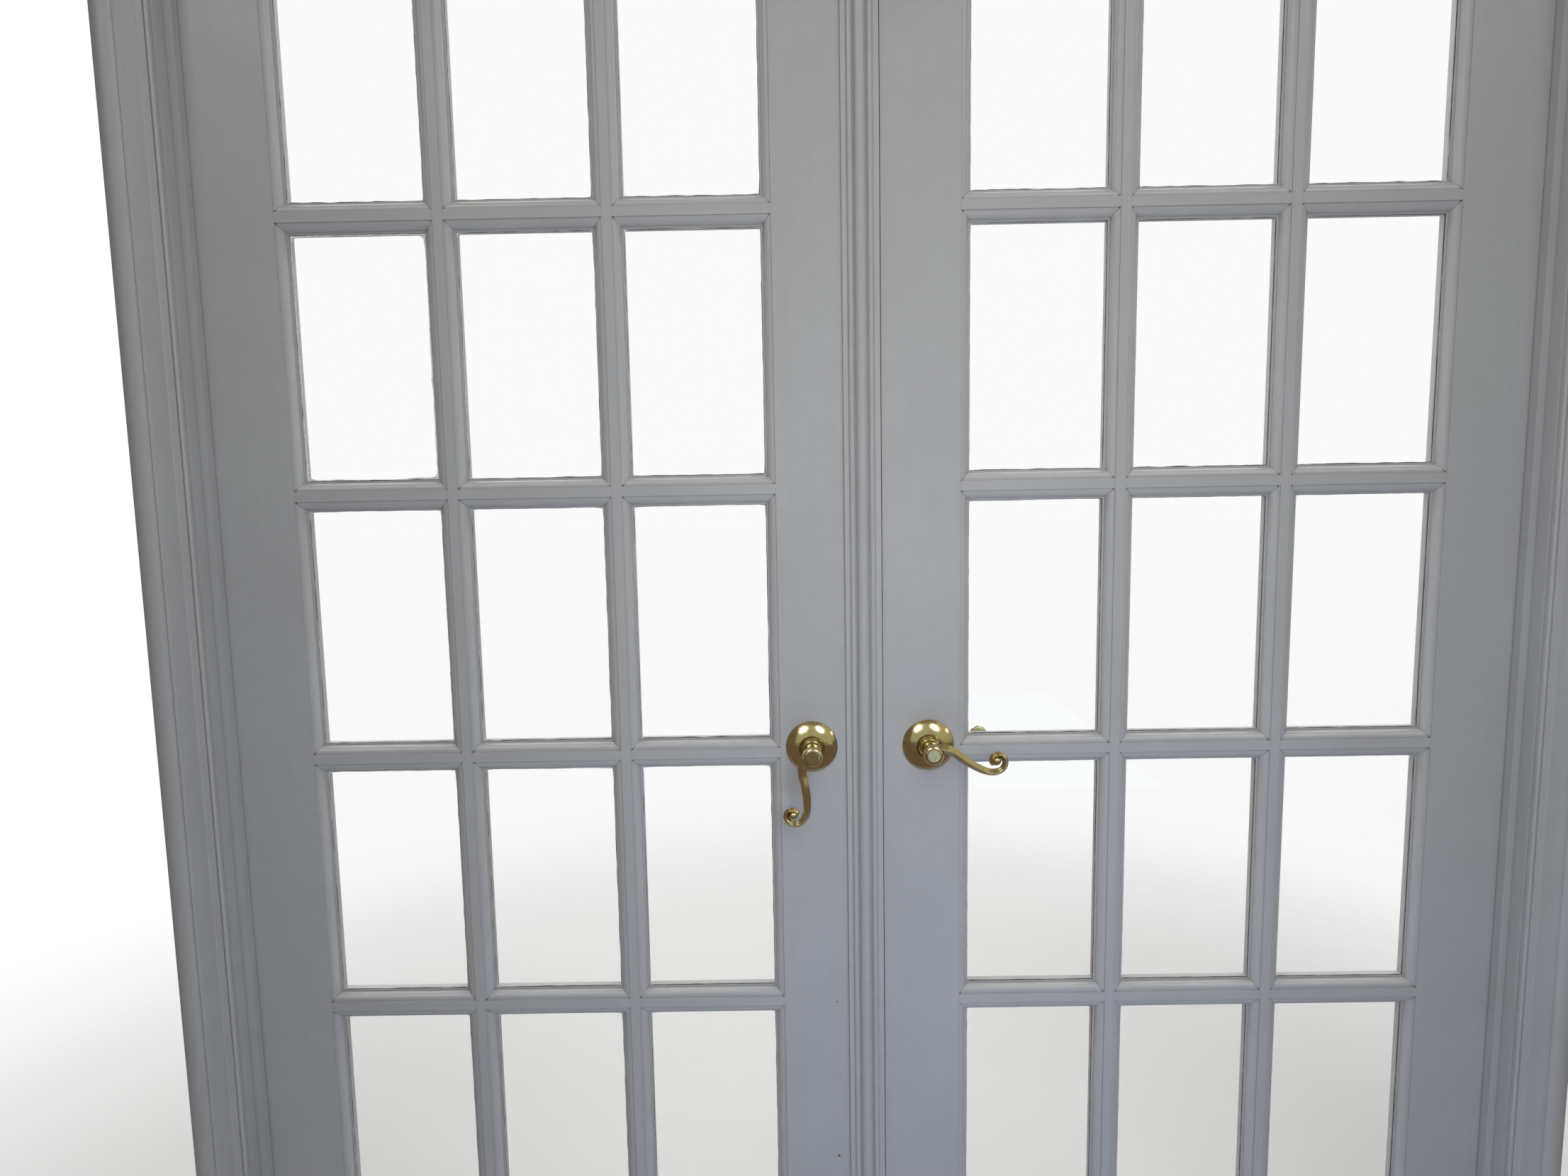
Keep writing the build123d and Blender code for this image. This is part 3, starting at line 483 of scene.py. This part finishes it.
def stand_up(part):
    """Turns a part that was made flat, facing up, so that it faces the front."""
    quarter = Matrix.Rotation(math.radians(90), 3, "X")
    bmesh.ops.rotate(part, cent=(0, 0, 0), matrix=quarter, verts=part.verts)


def thicken(part):
    """Adds a second skin to a flat part, joined to the first round the edge. Gives its points and faces."""
    raised = bmesh.ops.extrude_face_region(part, geom=list(part.faces))["geom"]
    points = [g for g in raised if isinstance(g, bmesh.types.BMVert)]
    faces = [g for g in raised if isinstance(g, bmesh.types.BMFace)]
    return points, faces


# Paint lapped on the glass, made lighter as painted light shining through it from behind, and a painted shadow line
# where the glass meets the ovolo

RING_PIECES_ACROSS = 26
RING_PIECES_UP = 44
RING_START = 0.4 * MM
RING_WIDEST = 5.0 * MM
RING_SUNK = 0.03 * MM
LAP_THICKNESS = 0.12 * MM
SHADOW_THICKNESS = 0.16 * MM


def lite_middle(side, column, row):
    """Middle of one lite: side is -1 for the left leaf and +1 for the right."""
    x = SIGHT_LEFT_X + LITE_WIDTH / 2 + column * (LITE_WIDTH + BAR_WIDTH)
    z = SIGHT_BOTTOM_Z + LITE_HEIGHT / 2 + row * (LITE_HEIGHT + BAR_WIDTH)
    return side * x, z


def lite_ring(x, z, width_at):
    """Flat ring just inside one lite's sight line. width_at gives its width at each point of the edge."""
    part = bmesh.new()
    bmesh.ops.create_grid(part, x_segments=1, y_segments=1, size=0.5)
    bmesh.ops.scale(part, vec=(LITE_WIDTH, LITE_HEIGHT, 1.0), verts=part.verts)
    for axis, cuts in ((0, RING_PIECES_ACROSS - 1), (1, RING_PIECES_UP - 1)):
        edges = []
        for edge in part.edges:
            if abs(edge.verts[1].co[axis] - edge.verts[0].co[axis]) > LITE_WIDTH / 2:
                edges.append(edge)
        bmesh.ops.subdivide_edges(part, edges=edges, cuts=cuts)
    stand_up(part)
    inner = list(part.faces)
    bmesh.ops.inset_region(part, faces=inner, thickness=RING_START, use_even_offset=True, use_boundary=True)
    half_x = LITE_WIDTH / 2
    half_z = LITE_HEIGHT / 2
    near_edge = 1.5 * RING_START
    for face in inner:
        for v in face.verts:
            from_side = half_x - abs(v.co.x)
            from_end = half_z - abs(v.co.z)
            width = width_at(v.co.x + x, v.co.z + z, from_side, from_end)
            if from_side < near_edge:
                v.co.x = math.copysign(half_x - width, v.co.x)
            if from_end < near_edge:
                v.co.z = math.copysign(half_z - width, v.co.z)
    bmesh.ops.delete(part, geom=inner, context="FACES")
    return part


def lap_ring(shape, x, z, thickness, width_at):
    """One ring of paint or shadow, let a little into the glass and standing in front of it."""
    part = lite_ring(x, z, width_at)
    raised, _ = thicken(part)
    bmesh.ops.translate(part, vec=(0, -thickness - RING_SUNK, 0), verts=raised)
    bmesh.ops.translate(part, vec=(x, GLASS_FRONT_Y + RING_SUNK, z), verts=part.verts)
    join_part(shape, part)


def edge_noise(x, z, per_metre, level, seed):
    """Smooth noise along a lite's edge, between -1 and 1."""
    return noise.noise(Vector((x * per_metre, level, z * per_metre)) + seed)


# The left leaf was painted with a fuller brush, and one of its lites more than the others.
LAP_USUAL = {-1: 0.45 * MM, 1: 0.1 * MM}
LAP_IN_CORNER = {-1: 1.4 * MM, 1: 0.6 * MM}
LAP_RAGGED = 0.8 * MM
LAP_FINE = 0.4 * MM
LAP_PATCHY = 0.7 * MM
LAP_LEAST = 0.12 * MM
CORNER_REACH = 5.0 * MM
HEAVY_LITE = (-1, 2, 3)
HEAVY_TIMES = 2.2
HEAVY_MORE = 0.8 * MM
HEAVY_IN_CORNER = 2.6 * MM


def lap_width(side, column, row):
    """How far the paint runs on to the glass round one lite: ragged, fuller in the corners."""
    heavy = (side, column, row) == HEAVY_LITE
    seed = Vector((side * 7.3, column * 3.1, row * 5.7))

    def width_at(x, z, from_side, from_end):
        ragged = edge_noise(x, z, 38, seed.x + seed.y, seed)
        fine = edge_noise(x, z, 190, seed.z, seed)
        patchy = edge_noise(x, z, 9, seed.y, seed)
        corner = math.exp(-math.hypot(from_side, from_end) / CORNER_REACH)
        width = LAP_USUAL[side] + LAP_RAGGED * ragged + LAP_FINE * fine + LAP_PATCHY * max(0.0, patchy)
        width += corner * LAP_IN_CORNER[side]
        if heavy:
            width = HEAVY_TIMES * width + HEAVY_IN_CORNER * corner + HEAVY_MORE
        return min(RING_WIDEST, max(LAP_LEAST, width))

    return width_at


SHADOW_WIDTH = 0.35 * MM
SHADOW_LEAST = 0.10 * MM
SHADOW_RAGGED = 0.25 * MM
SHADOW_MORE_BELOW = 0.55 * MM
SHADOW_MORE_RIGHT = 0.25 * MM


def shadow_width(side, column, row):
    """Painted shadow line round one lite: hardly there at the top, wider and ragged at the bottom and the right."""
    seed = Vector((side * 4.7, column * 6.1, row * 2.9))
    middle_x, middle_z = lite_middle(side, column, row)

    def width_at(x, z, from_side, from_end):
        ragged = edge_noise(x, z, 60, seed.x, seed)
        fine = edge_noise(x, z, 230, seed.y, seed)
        more = 0.0
        if from_end < from_side and z < middle_z - LITE_HEIGHT / 4:
            more = SHADOW_MORE_BELOW
        elif from_side < from_end and x > middle_x:
            more = SHADOW_MORE_RIGHT
        width = SHADOW_WIDTH + more * (1.0 + 1.2 * ragged) + SHADOW_RAGGED * (ragged + fine)
        return max(SHADOW_LEAST, width)

    return width_at


def ring_pieces(side, leaf, body):
    """All shadow lines and all paint laps of one leaf."""
    shadow = bmesh.new()
    laps = bmesh.new()
    for column in range(LITE_COLUMNS):
        for row in range(LITE_ROWS):
            x, z = lite_middle(side, column, row)
            lap_ring(shadow, x, z, SHADOW_THICKNESS, shadow_width(side, column, row))
            lap_ring(laps, x, z, LAP_THICKNESS, lap_width(side, column, row))
    keep_piece(shadow, f"{leaf}_glass_shadow_lines", putty_shadow, body)
    keep_piece(laps, f"{leaf}_paint_laps", lap_paint_lit_from_behind, body)


ring_pieces(-1, "left", "left_door")
ring_pieces(1, "right", "right_door")

# Two old nail holes on the left meeting stile, brown inside: place in X and Z, and radius

NAIL_HOLES = ((-46.5 * MM, 572.6 * MM, 1.0 * MM), (-46.1 * MM, 349.9 * MM, 1.8 * MM))
NAIL_HOLE_SIDES = 14
NAIL_HOLE_RAGGED = 0.22
NAIL_HOLE_RISE = 0.06 * MM
NAIL_HOLE_DIMPLE = 0.6 * NAIL_HOLE_RISE
NAIL_HOLE_LIP = 0.35


def nail_hole(shape, x, z, radius):
    """Ragged brown disc with a dimple, just proud of the paint."""
    part = bmesh.new()
    bmesh.ops.create_circle(part, cap_ends=True, segments=NAIL_HOLE_SIDES, radius=radius)
    for v in part.verts:
        v.co *= 1.0 + NAIL_HOLE_RAGGED * noise.noise(Vector((v.co.x / radius, v.co.y / radius, x / MM)))
    rim = list(part.verts)
    top, lid = thicken(part)
    bmesh.ops.translate(part, vec=(0, 0, NAIL_HOLE_RISE), verts=top)
    bmesh.ops.translate(part, vec=(0, 0, -NAIL_HOLE_RISE), verts=rim)
    bmesh.ops.inset_region(part, faces=lid, thickness=radius * NAIL_HOLE_LIP, depth=-NAIL_HOLE_DIMPLE)
    stand_up(part)
    bmesh.ops.translate(part, vec=(x, LEAF_FRONT_Y, z), verts=part.verts)
    join_part(shape, part)


holes = bmesh.new()
for hole in NAIL_HOLES:
    nail_hole(holes, *hole)
keep_piece(holes, "nail_holes", chip, "left_door")

# Screws: countersunk heads with a cross recess, on every plate

SCREW_SIDES = 28
SCREW_RISE = 0.42 * MM
SCREW_SUNK = 0.5 * MM
SCREW_CROWN = 0.22 * MM
CROSS_DEPTH = 0.36 * MM
CROSS_REACH = 0.62
CROSS_HALF_WIDTH = 0.15
SCREW_SEED = 37.0
SCREW_TURN = 2.0


def screw_head(shape, place, outward, radius):
    """Slightly raised head facing outward, with a cross recess."""
    part = bmesh.new()
    bmesh.ops.create_circle(part, cap_ends=True, segments=SCREW_SIDES, radius=radius)
    arm = radius * CROSS_REACH
    half = radius * CROSS_HALF_WIDTH
    for direction in ((1, 0, 0), (0, 1, 0)):
        for offset in (-arm, -half, half, arm):
            cut = tuple(c * offset for c in direction)
            everything = list(part.verts) + list(part.edges) + list(part.faces)
            bmesh.ops.bisect_plane(part, geom=everything, plane_co=cut, plane_no=direction)
    rim = [e for e in part.edges if e.is_boundary]
    wall = bmesh.ops.extrude_edge_only(part, edges=rim)
    lowered = [g for g in wall["geom"] if isinstance(g, bmesh.types.BMVert)]
    bmesh.ops.translate(part, vec=(0, 0, -SCREW_RISE - SCREW_SUNK), verts=lowered)
    cross = []
    for face in part.faces:
        middle = face.calc_center_median()
        across = abs(middle.x) < half and abs(middle.y) < arm
        along = abs(middle.y) < half and abs(middle.x) < arm
        if across or along:
            cross.append(face)
    for v in part.verts:
        if v.co.z > -SCREW_RISE:
            v.co.z = -SCREW_CROWN * (math.hypot(v.co.x, v.co.y) / radius) ** 3
    pressed = bmesh.ops.extrude_face_region(part, geom=cross)
    recess = [g for g in pressed["geom"] if isinstance(g, bmesh.types.BMVert)]
    bmesh.ops.delete(part, geom=cross, context="FACES")
    bmesh.ops.translate(part, vec=(0, 0, -CROSS_DEPTH), verts=recess)
    bmesh.ops.holes_fill(part, edges=[e for e in part.edges if e.is_boundary], sides=0)
    bmesh.ops.translate(part, vec=(0, 0, SCREW_RISE), verts=part.verts)
    turn = Vector((0, 0, 1)).rotation_difference(Vector(outward)).to_matrix()
    spin = Matrix.Rotation(noise.noise(Vector(place) * SCREW_SEED) * SCREW_TURN, 3, "Z")
    bmesh.ops.rotate(part, cent=(0, 0, 0), matrix=turn @ spin, verts=part.verts)
    bmesh.ops.translate(part, vec=place, verts=part.verts)
    join_part(shape, part)


def screw_piece(name, body, radius, screws):
    """Screw heads of one body, each given by its place and the way that it faces."""
    shape = bmesh.new()
    for place, outward in screws:
        screw_head(shape, place, outward, radius)
    keep_piece(shape, name, brass, body)


HINGE_SCREW = 3.6 * MM
PLATE_SCREW = 2.9 * MM
FLUSH_SCREW = 2.1 * MM
HINGE_SCREW_PLACES = ((-31 * MM, -2 * MM), (0.0, 8 * MM), (31 * MM, -2 * MM))
LATCH_SCREW_RISES = (-22 * MM, 22 * MM)
HEAD_STRIKE_REACHES = (-14 * MM, 14 * MM)
TOP_FLUSH_PLACES = ((0.0, 1900 * MM), (-7 * MM, 2032 * MM), (7 * MM, 2032 * MM))


def hinge_screws(face_x, facing):
    """Three screws in each of three plates, the middle one nearer to the barrel."""
    screws = []
    for z in HINGE_HEIGHTS:
        for rise, y in HINGE_SCREW_PLACES:
            screws.append(((face_x, y, z + rise), (facing, 0, 0)))
    return screws


screw_piece("jamb_hinge_screws", "frame", HINGE_SCREW, hinge_screws(JAMB_FACE_X, -1) + hinge_screws(-JAMB_FACE_X, 1))
screw_piece("left_leaf_hinge_screws", "left_door", HINGE_SCREW, hinge_screws(-HINGE_EDGE_X, -1))
screw_piece("right_leaf_hinge_screws", "right_door", HINGE_SCREW, hinge_screws(HINGE_EDGE_X, 1))
screw_piece(
    "latch_face_screws", "right_door", PLATE_SCREW,
    [((STILE_EDGE_X, 0, HANDLE_Z + rise), (-1, 0, 0)) for rise in LATCH_SCREW_RISES],
)
screw_piece(
    "latch_strike_screws", "left_door", PLATE_SCREW,
    [((ASTRAGAL_RIGHT_X, 0, HANDLE_Z + rise), (1, 0, 0)) for rise in LATCH_SCREW_RISES],
)
bottom_flush_places = [(y, 2 * LEAF_MIDDLE_Z - z) for y, z in TOP_FLUSH_PLACES]
screw_piece(
    "flush_plate_screws", "left_door", FLUSH_SCREW,
    [((ASTRAGAL_RIGHT_X, y, z), (1, 0, 0)) for y, z in (*TOP_FLUSH_PLACES, *bottom_flush_places)],
)
screw_piece(
    "head_strike_screws", "frame", PLATE_SCREW,
    [((FLUSH_ROD_X + reach, 0, HEAD_FACE_Z), (0, 0, -1)) for reach in HEAD_STRIKE_REACHES],
)

# Studio: the floor, and panels that stand for a room in the gloss of metal, paint and glass


def sheet_of(name, corners, material):
    """Flat four-cornered stage panel."""
    shape = bmesh.new()
    shape.faces.new([shape.verts.new(c) for c in corners])
    mesh = bpy.data.meshes.new(name)
    shape.to_mesh(mesh)
    shape.free()
    mesh.materials.append(material)
    thing = bpy.data.objects.new(name, mesh)
    bpy.context.scene.collection.objects.link(thing)
    return thing


def upright_panel(x_low, x_high, y, z_low, z_high):
    """Corners of a panel that faces the doors."""
    return [(x_low, y, z_low), (x_high, y, z_low), (x_high, y, z_high), (x_low, y, z_high)]


def level_panel(x_low, x_high, y_near, y_far, z):
    """Corners of a floor, ceiling or ground panel."""
    return [(x_low, y_near, z), (x_high, y_near, z), (x_high, y_far, z), (x_low, y_far, z)]


def side_panel(x, y_near, y_far, z_low, z_high):
    """Corners of a panel at the side of the doors."""
    return [(x, y_near, z_low), (x, y_far, z_low), (x, y_far, z_high), (x, y_near, z_high)]


FLOOR_REACH = 6.0
FLOOR_FADE_FROM = 0.9
FLOOR_FADE_TO = 2.6
FLOOR_ROUGHNESS = 0.7


def floor_material():
    """Pale floor that fades into the white background away from the doors, and keeps their shadow."""
    made, tree, shader = start_material("pale_floor")
    shader.inputs["Base Color"].default_value = rgba(FLOOR_PALE)
    shader.inputs["Roughness"].default_value = FLOOR_ROUGHNESS
    away = add(tree, "ShaderNodeVectorMath", operation="LENGTH")
    link(tree, object_place(tree), away.inputs[0])
    fade = spread(tree, away.outputs["Value"], FLOOR_FADE_FROM, FLOOR_FADE_TO)
    clear_where(tree, fade, shader.outputs["BSDF"])
    return made


sheet_of("floor", level_panel(-FLOOR_REACH, FLOOR_REACH, -FLOOR_REACH, FLOOR_REACH, 0), floor_material())


def glow(name, colour, strength):
    """Plain glowing panel: the material, its tree and what it gives off."""
    made, tree, output = start_tree(name)
    light = add(tree, "ShaderNodeEmission")
    light.inputs["Color"].default_value = rgba(colour)
    light.inputs["Strength"].default_value = strength
    link(tree, light.outputs["Emission"], output.inputs["Surface"])
    return made, tree, light.outputs["Emission"]


SOFT_FROM = 0.62
SOFT_TO = 0.98
ANY_DEPTH = 1000.0


def soft_glow(name, colour, strength, middle, half):
    """Glowing window that is clear at its edges: middle and half size in X and Z."""
    made, tree, light = glow(name, colour, strength)
    moved = add(tree, "ShaderNodeMapping", vector_type="TEXTURE")
    moved.inputs["Location"].default_value = (middle[0], 0.0, middle[1])
    moved.inputs["Scale"].default_value = (half[0], ANY_DEPTH, half[1])
    away = add(tree, "ShaderNodeVectorMath", operation="LENGTH")
    link(tree, object_place(tree), moved.inputs["Vector"])
    link(tree, moved.outputs["Vector"], away.inputs[0])
    clear_where(tree, spread(tree, away.outputs["Value"], SOFT_FROM, SOFT_TO), light)
    return made


ROOM_TONES = {
    "front_wall": ((0.47, 0.48, 0.40), 1.0),
    "low_wall": ((0.27, 0.25, 0.25), 1.0),
    "ceiling": ((0.24, 0.21, 0.14), 1.0),
    "ground": ((0.175, 0.125, 0.095), 1.0),
    "left_wall": ((0.18, 0.14, 0.095), 1.0),
    "right_wall": ((0.50, 0.49, 0.34), 1.0),
    "far_window": ((1.0, 0.98, 0.90), 3.5),
    "pale_patch": ((0.62, 0.76, 0.98), 1.0),
}
tones = {name: glow(f"reflected_{name}", *tone)[0] for name, tone in ROOM_TONES.items()}
WINDOW_LIGHT = ((1.0, 0.99, 0.97), 9.0)
WINDOW_MIDDLES = ((-3.9, 7.6), (4.3, 7.6))
WINDOW_HALF = (2.4, 2.9)
window_tones = [
    soft_glow(f"reflected_window_{number}", *WINDOW_LIGHT, middle, WINDOW_HALF)
    for number, middle in enumerate(WINDOW_MIDDLES)
]
ROOM_HALF = 6.5
ROOM_HIGH = 11.0
ROOM_NEAR = 0.02
ROOM_FAR = 6.0
ROOM_LOW = 0.01
DADO = 0.9
PANEL_GAP = 0.05
# In the right wall: nearest to the doors, farthest from them, lowest and highest
FAR_WINDOW = (1.2, 2.2, 2.9, 4.0)
# Over the ground: left, right, nearest, farthest and height
PALE_PATCH = (0.27, 1.40, 2.5, 4.2, 0.02)


def window_panel(middle, y):
    """Corners of a window in the wall that faces the doors."""
    x, z = middle
    half_x, half_z = WINDOW_HALF
    return upright_panel(x - half_x, x + half_x, y, z - half_z, z + half_z)


def only_in_gloss(thing):
    """The panel shows in reflections and nowhere else."""
    thing.visible_camera = False
    thing.visible_diffuse = False
    thing.visible_transmission = False
    thing.visible_volume_scatter = False
    thing.visible_shadow = False


def reflected_room(side, label):
    """Panels on one side of the doors: side is -1 for the front and +1 for the back."""
    near, far = side * ROOM_NEAR, side * ROOM_FAR
    in_wall = far - side * PANEL_GAP
    window_near, window_far, window_low, window_high = FAR_WINDOW
    patch_left, patch_right, patch_near, patch_far, patch_high = PALE_PATCH
    panels = (
        ("low_wall", upright_panel(-ROOM_HALF, ROOM_HALF, far, ROOM_LOW, DADO), tones["low_wall"]),
        ("wall", upright_panel(-ROOM_HALF, ROOM_HALF, far, DADO, ROOM_HIGH), tones["front_wall"]),
        ("ceiling", level_panel(-ROOM_HALF, ROOM_HALF, near, far, ROOM_HIGH), tones["ceiling"]),
        ("ground", level_panel(-ROOM_HALF, ROOM_HALF, near, far, ROOM_LOW), tones["ground"]),
        ("left_wall", side_panel(-ROOM_HALF, near, far, ROOM_LOW, ROOM_HIGH), tones["left_wall"]),
        ("right_wall", side_panel(ROOM_HALF, near, far, ROOM_LOW, ROOM_HIGH), tones["right_wall"]),
        ("left_window", window_panel(WINDOW_MIDDLES[0], in_wall), window_tones[0]),
        ("right_window", window_panel(WINDOW_MIDDLES[1], in_wall), window_tones[1]),
        (
            "far_window",
            side_panel(ROOM_HALF - PANEL_GAP, side * window_near, side * window_far, window_low, window_high),
            tones["far_window"],
        ),
        (
            "pale_patch",
            level_panel(patch_left, patch_right, side * patch_near, side * patch_far, patch_high),
            tones["pale_patch"],
        ),
    )
    for name, corners, tone in panels:
        only_in_gloss(sheet_of(f"{label}_{name}", corners, tone))


reflected_room(-1, "front_room")
reflected_room(1, "back_room")

# World: white where it is seen, straight, in gloss or through glass, and weak where it only lights

AMBIENT = 0.15
world = bpy.data.worlds.new("studio")
bpy.context.scene.world = world
world.use_nodes = True
sky = world.node_tree
sky.nodes.clear()


def background(colour, strength):
    """Even light from all round."""
    made = add(sky, "ShaderNodeBackground")
    made.inputs["Color"].default_value = rgba(colour)
    made.inputs["Strength"].default_value = strength
    return made.outputs["Background"]


ray = add(sky, "ShaderNodeLightPath")
seen = reckon(sky, "MAXIMUM", ray.outputs["Is Camera Ray"], ray.outputs["Is Glossy Ray"])
seen = reckon(sky, "MAXIMUM", seen, ray.outputs["Is Transmission Ray"])
either = add(sky, "ShaderNodeMixShader")
link(sky, seen, either.inputs[0])
link(sky, background(AMBIENT_WHITE, AMBIENT), either.inputs[1])
link(sky, background(WHITE, 1.0), either.inputs[2])
sky_output = add(sky, "ShaderNodeOutputWorld")
link(sky, either.outputs["Shader"], sky_output.inputs["Surface"])


def aimed(place, target):
    """Turn of a lamp at one place that shines towards another."""
    return (Vector(target) - Vector(place)).to_track_quat("-Z", "Y").to_euler()


def soft_light(name, place, target, width, height, power, colour):
    """Large soft lamp. It doesn't show in reflections, where the room's panels do."""
    data = bpy.data.lights.new(name, "AREA")
    data.shape = "RECTANGLE"
    data.size = width
    data.size_y = height
    data.energy = power
    data.color = colour
    lamp = bpy.data.objects.new(name, data)
    bpy.context.scene.collection.objects.link(lamp)
    lamp.location = place
    lamp.rotation_euler = aimed(place, target)
    lamp.visible_camera = False
    lamp.visible_glossy = False
    lamp.visible_transmission = False


soft_light("front_key", (0.10, -1.10, 1.28), (0.05, 0.0, 1.20), 0.7, 0.6, 6.1, (1.0, 0.99, 1.0))
soft_light("front_high", (0.0, -1.6, 2.4), (0.05, 0.0, 1.20), 1.0, 0.6, 6.6, (1.0, 0.97, 0.86))
soft_light("front_low", (0.20, -0.95, 0.30), (0.05, 0.0, 0.90), 0.8, 0.5, 3.3, (0.45, 0.62, 1.0))
soft_light("back_key", (-0.4, 2.2, 1.9), (0.0, 0.0, 1.0), 1.8, 1.2, 34.0, (1.0, 0.99, 0.97))
soft_light("top_fill", (0.0, 0.3, 3.8), (0.0, 0.0, 0.0), 2.6, 2.2, 60.0, WHITE)

# Camera, where the photograph was taken from

CAMERA_PLACE = (-0.1005, -1.2129, 1.2644)
CAMERA_YAW = math.radians(-0.369)
CAMERA_PITCH = math.radians(6.306)
CAMERA_ROLL = math.radians(-0.998)
CAMERA_LENS = 21.615
SENSOR_WIDTH = 36.0
SEEN_FROM = 0.02
SEEN_TO = 60.0
ahead = Vector((
    math.sin(CAMERA_YAW) * math.cos(CAMERA_PITCH),
    math.cos(CAMERA_YAW) * math.cos(CAMERA_PITCH),
    -math.sin(CAMERA_PITCH),
))
level_right = Vector((math.cos(CAMERA_YAW), -math.sin(CAMERA_YAW), 0.0))
level_up = level_right.cross(ahead)
right = level_right * math.cos(CAMERA_ROLL) + level_up * math.sin(CAMERA_ROLL)
up = level_up * math.cos(CAMERA_ROLL) - level_right * math.sin(CAMERA_ROLL)
camera_data = bpy.data.cameras.new("camera")
camera_data.sensor_fit = "HORIZONTAL"
camera_data.sensor_width = SENSOR_WIDTH
camera_data.lens = CAMERA_LENS
camera_data.clip_start = SEEN_FROM
camera_data.clip_end = SEEN_TO
camera = bpy.data.objects.new("camera", camera_data)
bpy.context.scene.collection.objects.link(camera)
camera.matrix_world = Matrix((
    (right.x, up.x, -ahead.x, CAMERA_PLACE[0]),
    (right.y, up.y, -ahead.y, CAMERA_PLACE[1]),
    (right.z, up.z, -ahead.z, CAMERA_PLACE[2]),
    (0.0, 0.0, 0.0, 1.0),
))
bpy.context.scene.camera = camera
bpy.context.scene.view_settings.view_transform = "Standard"
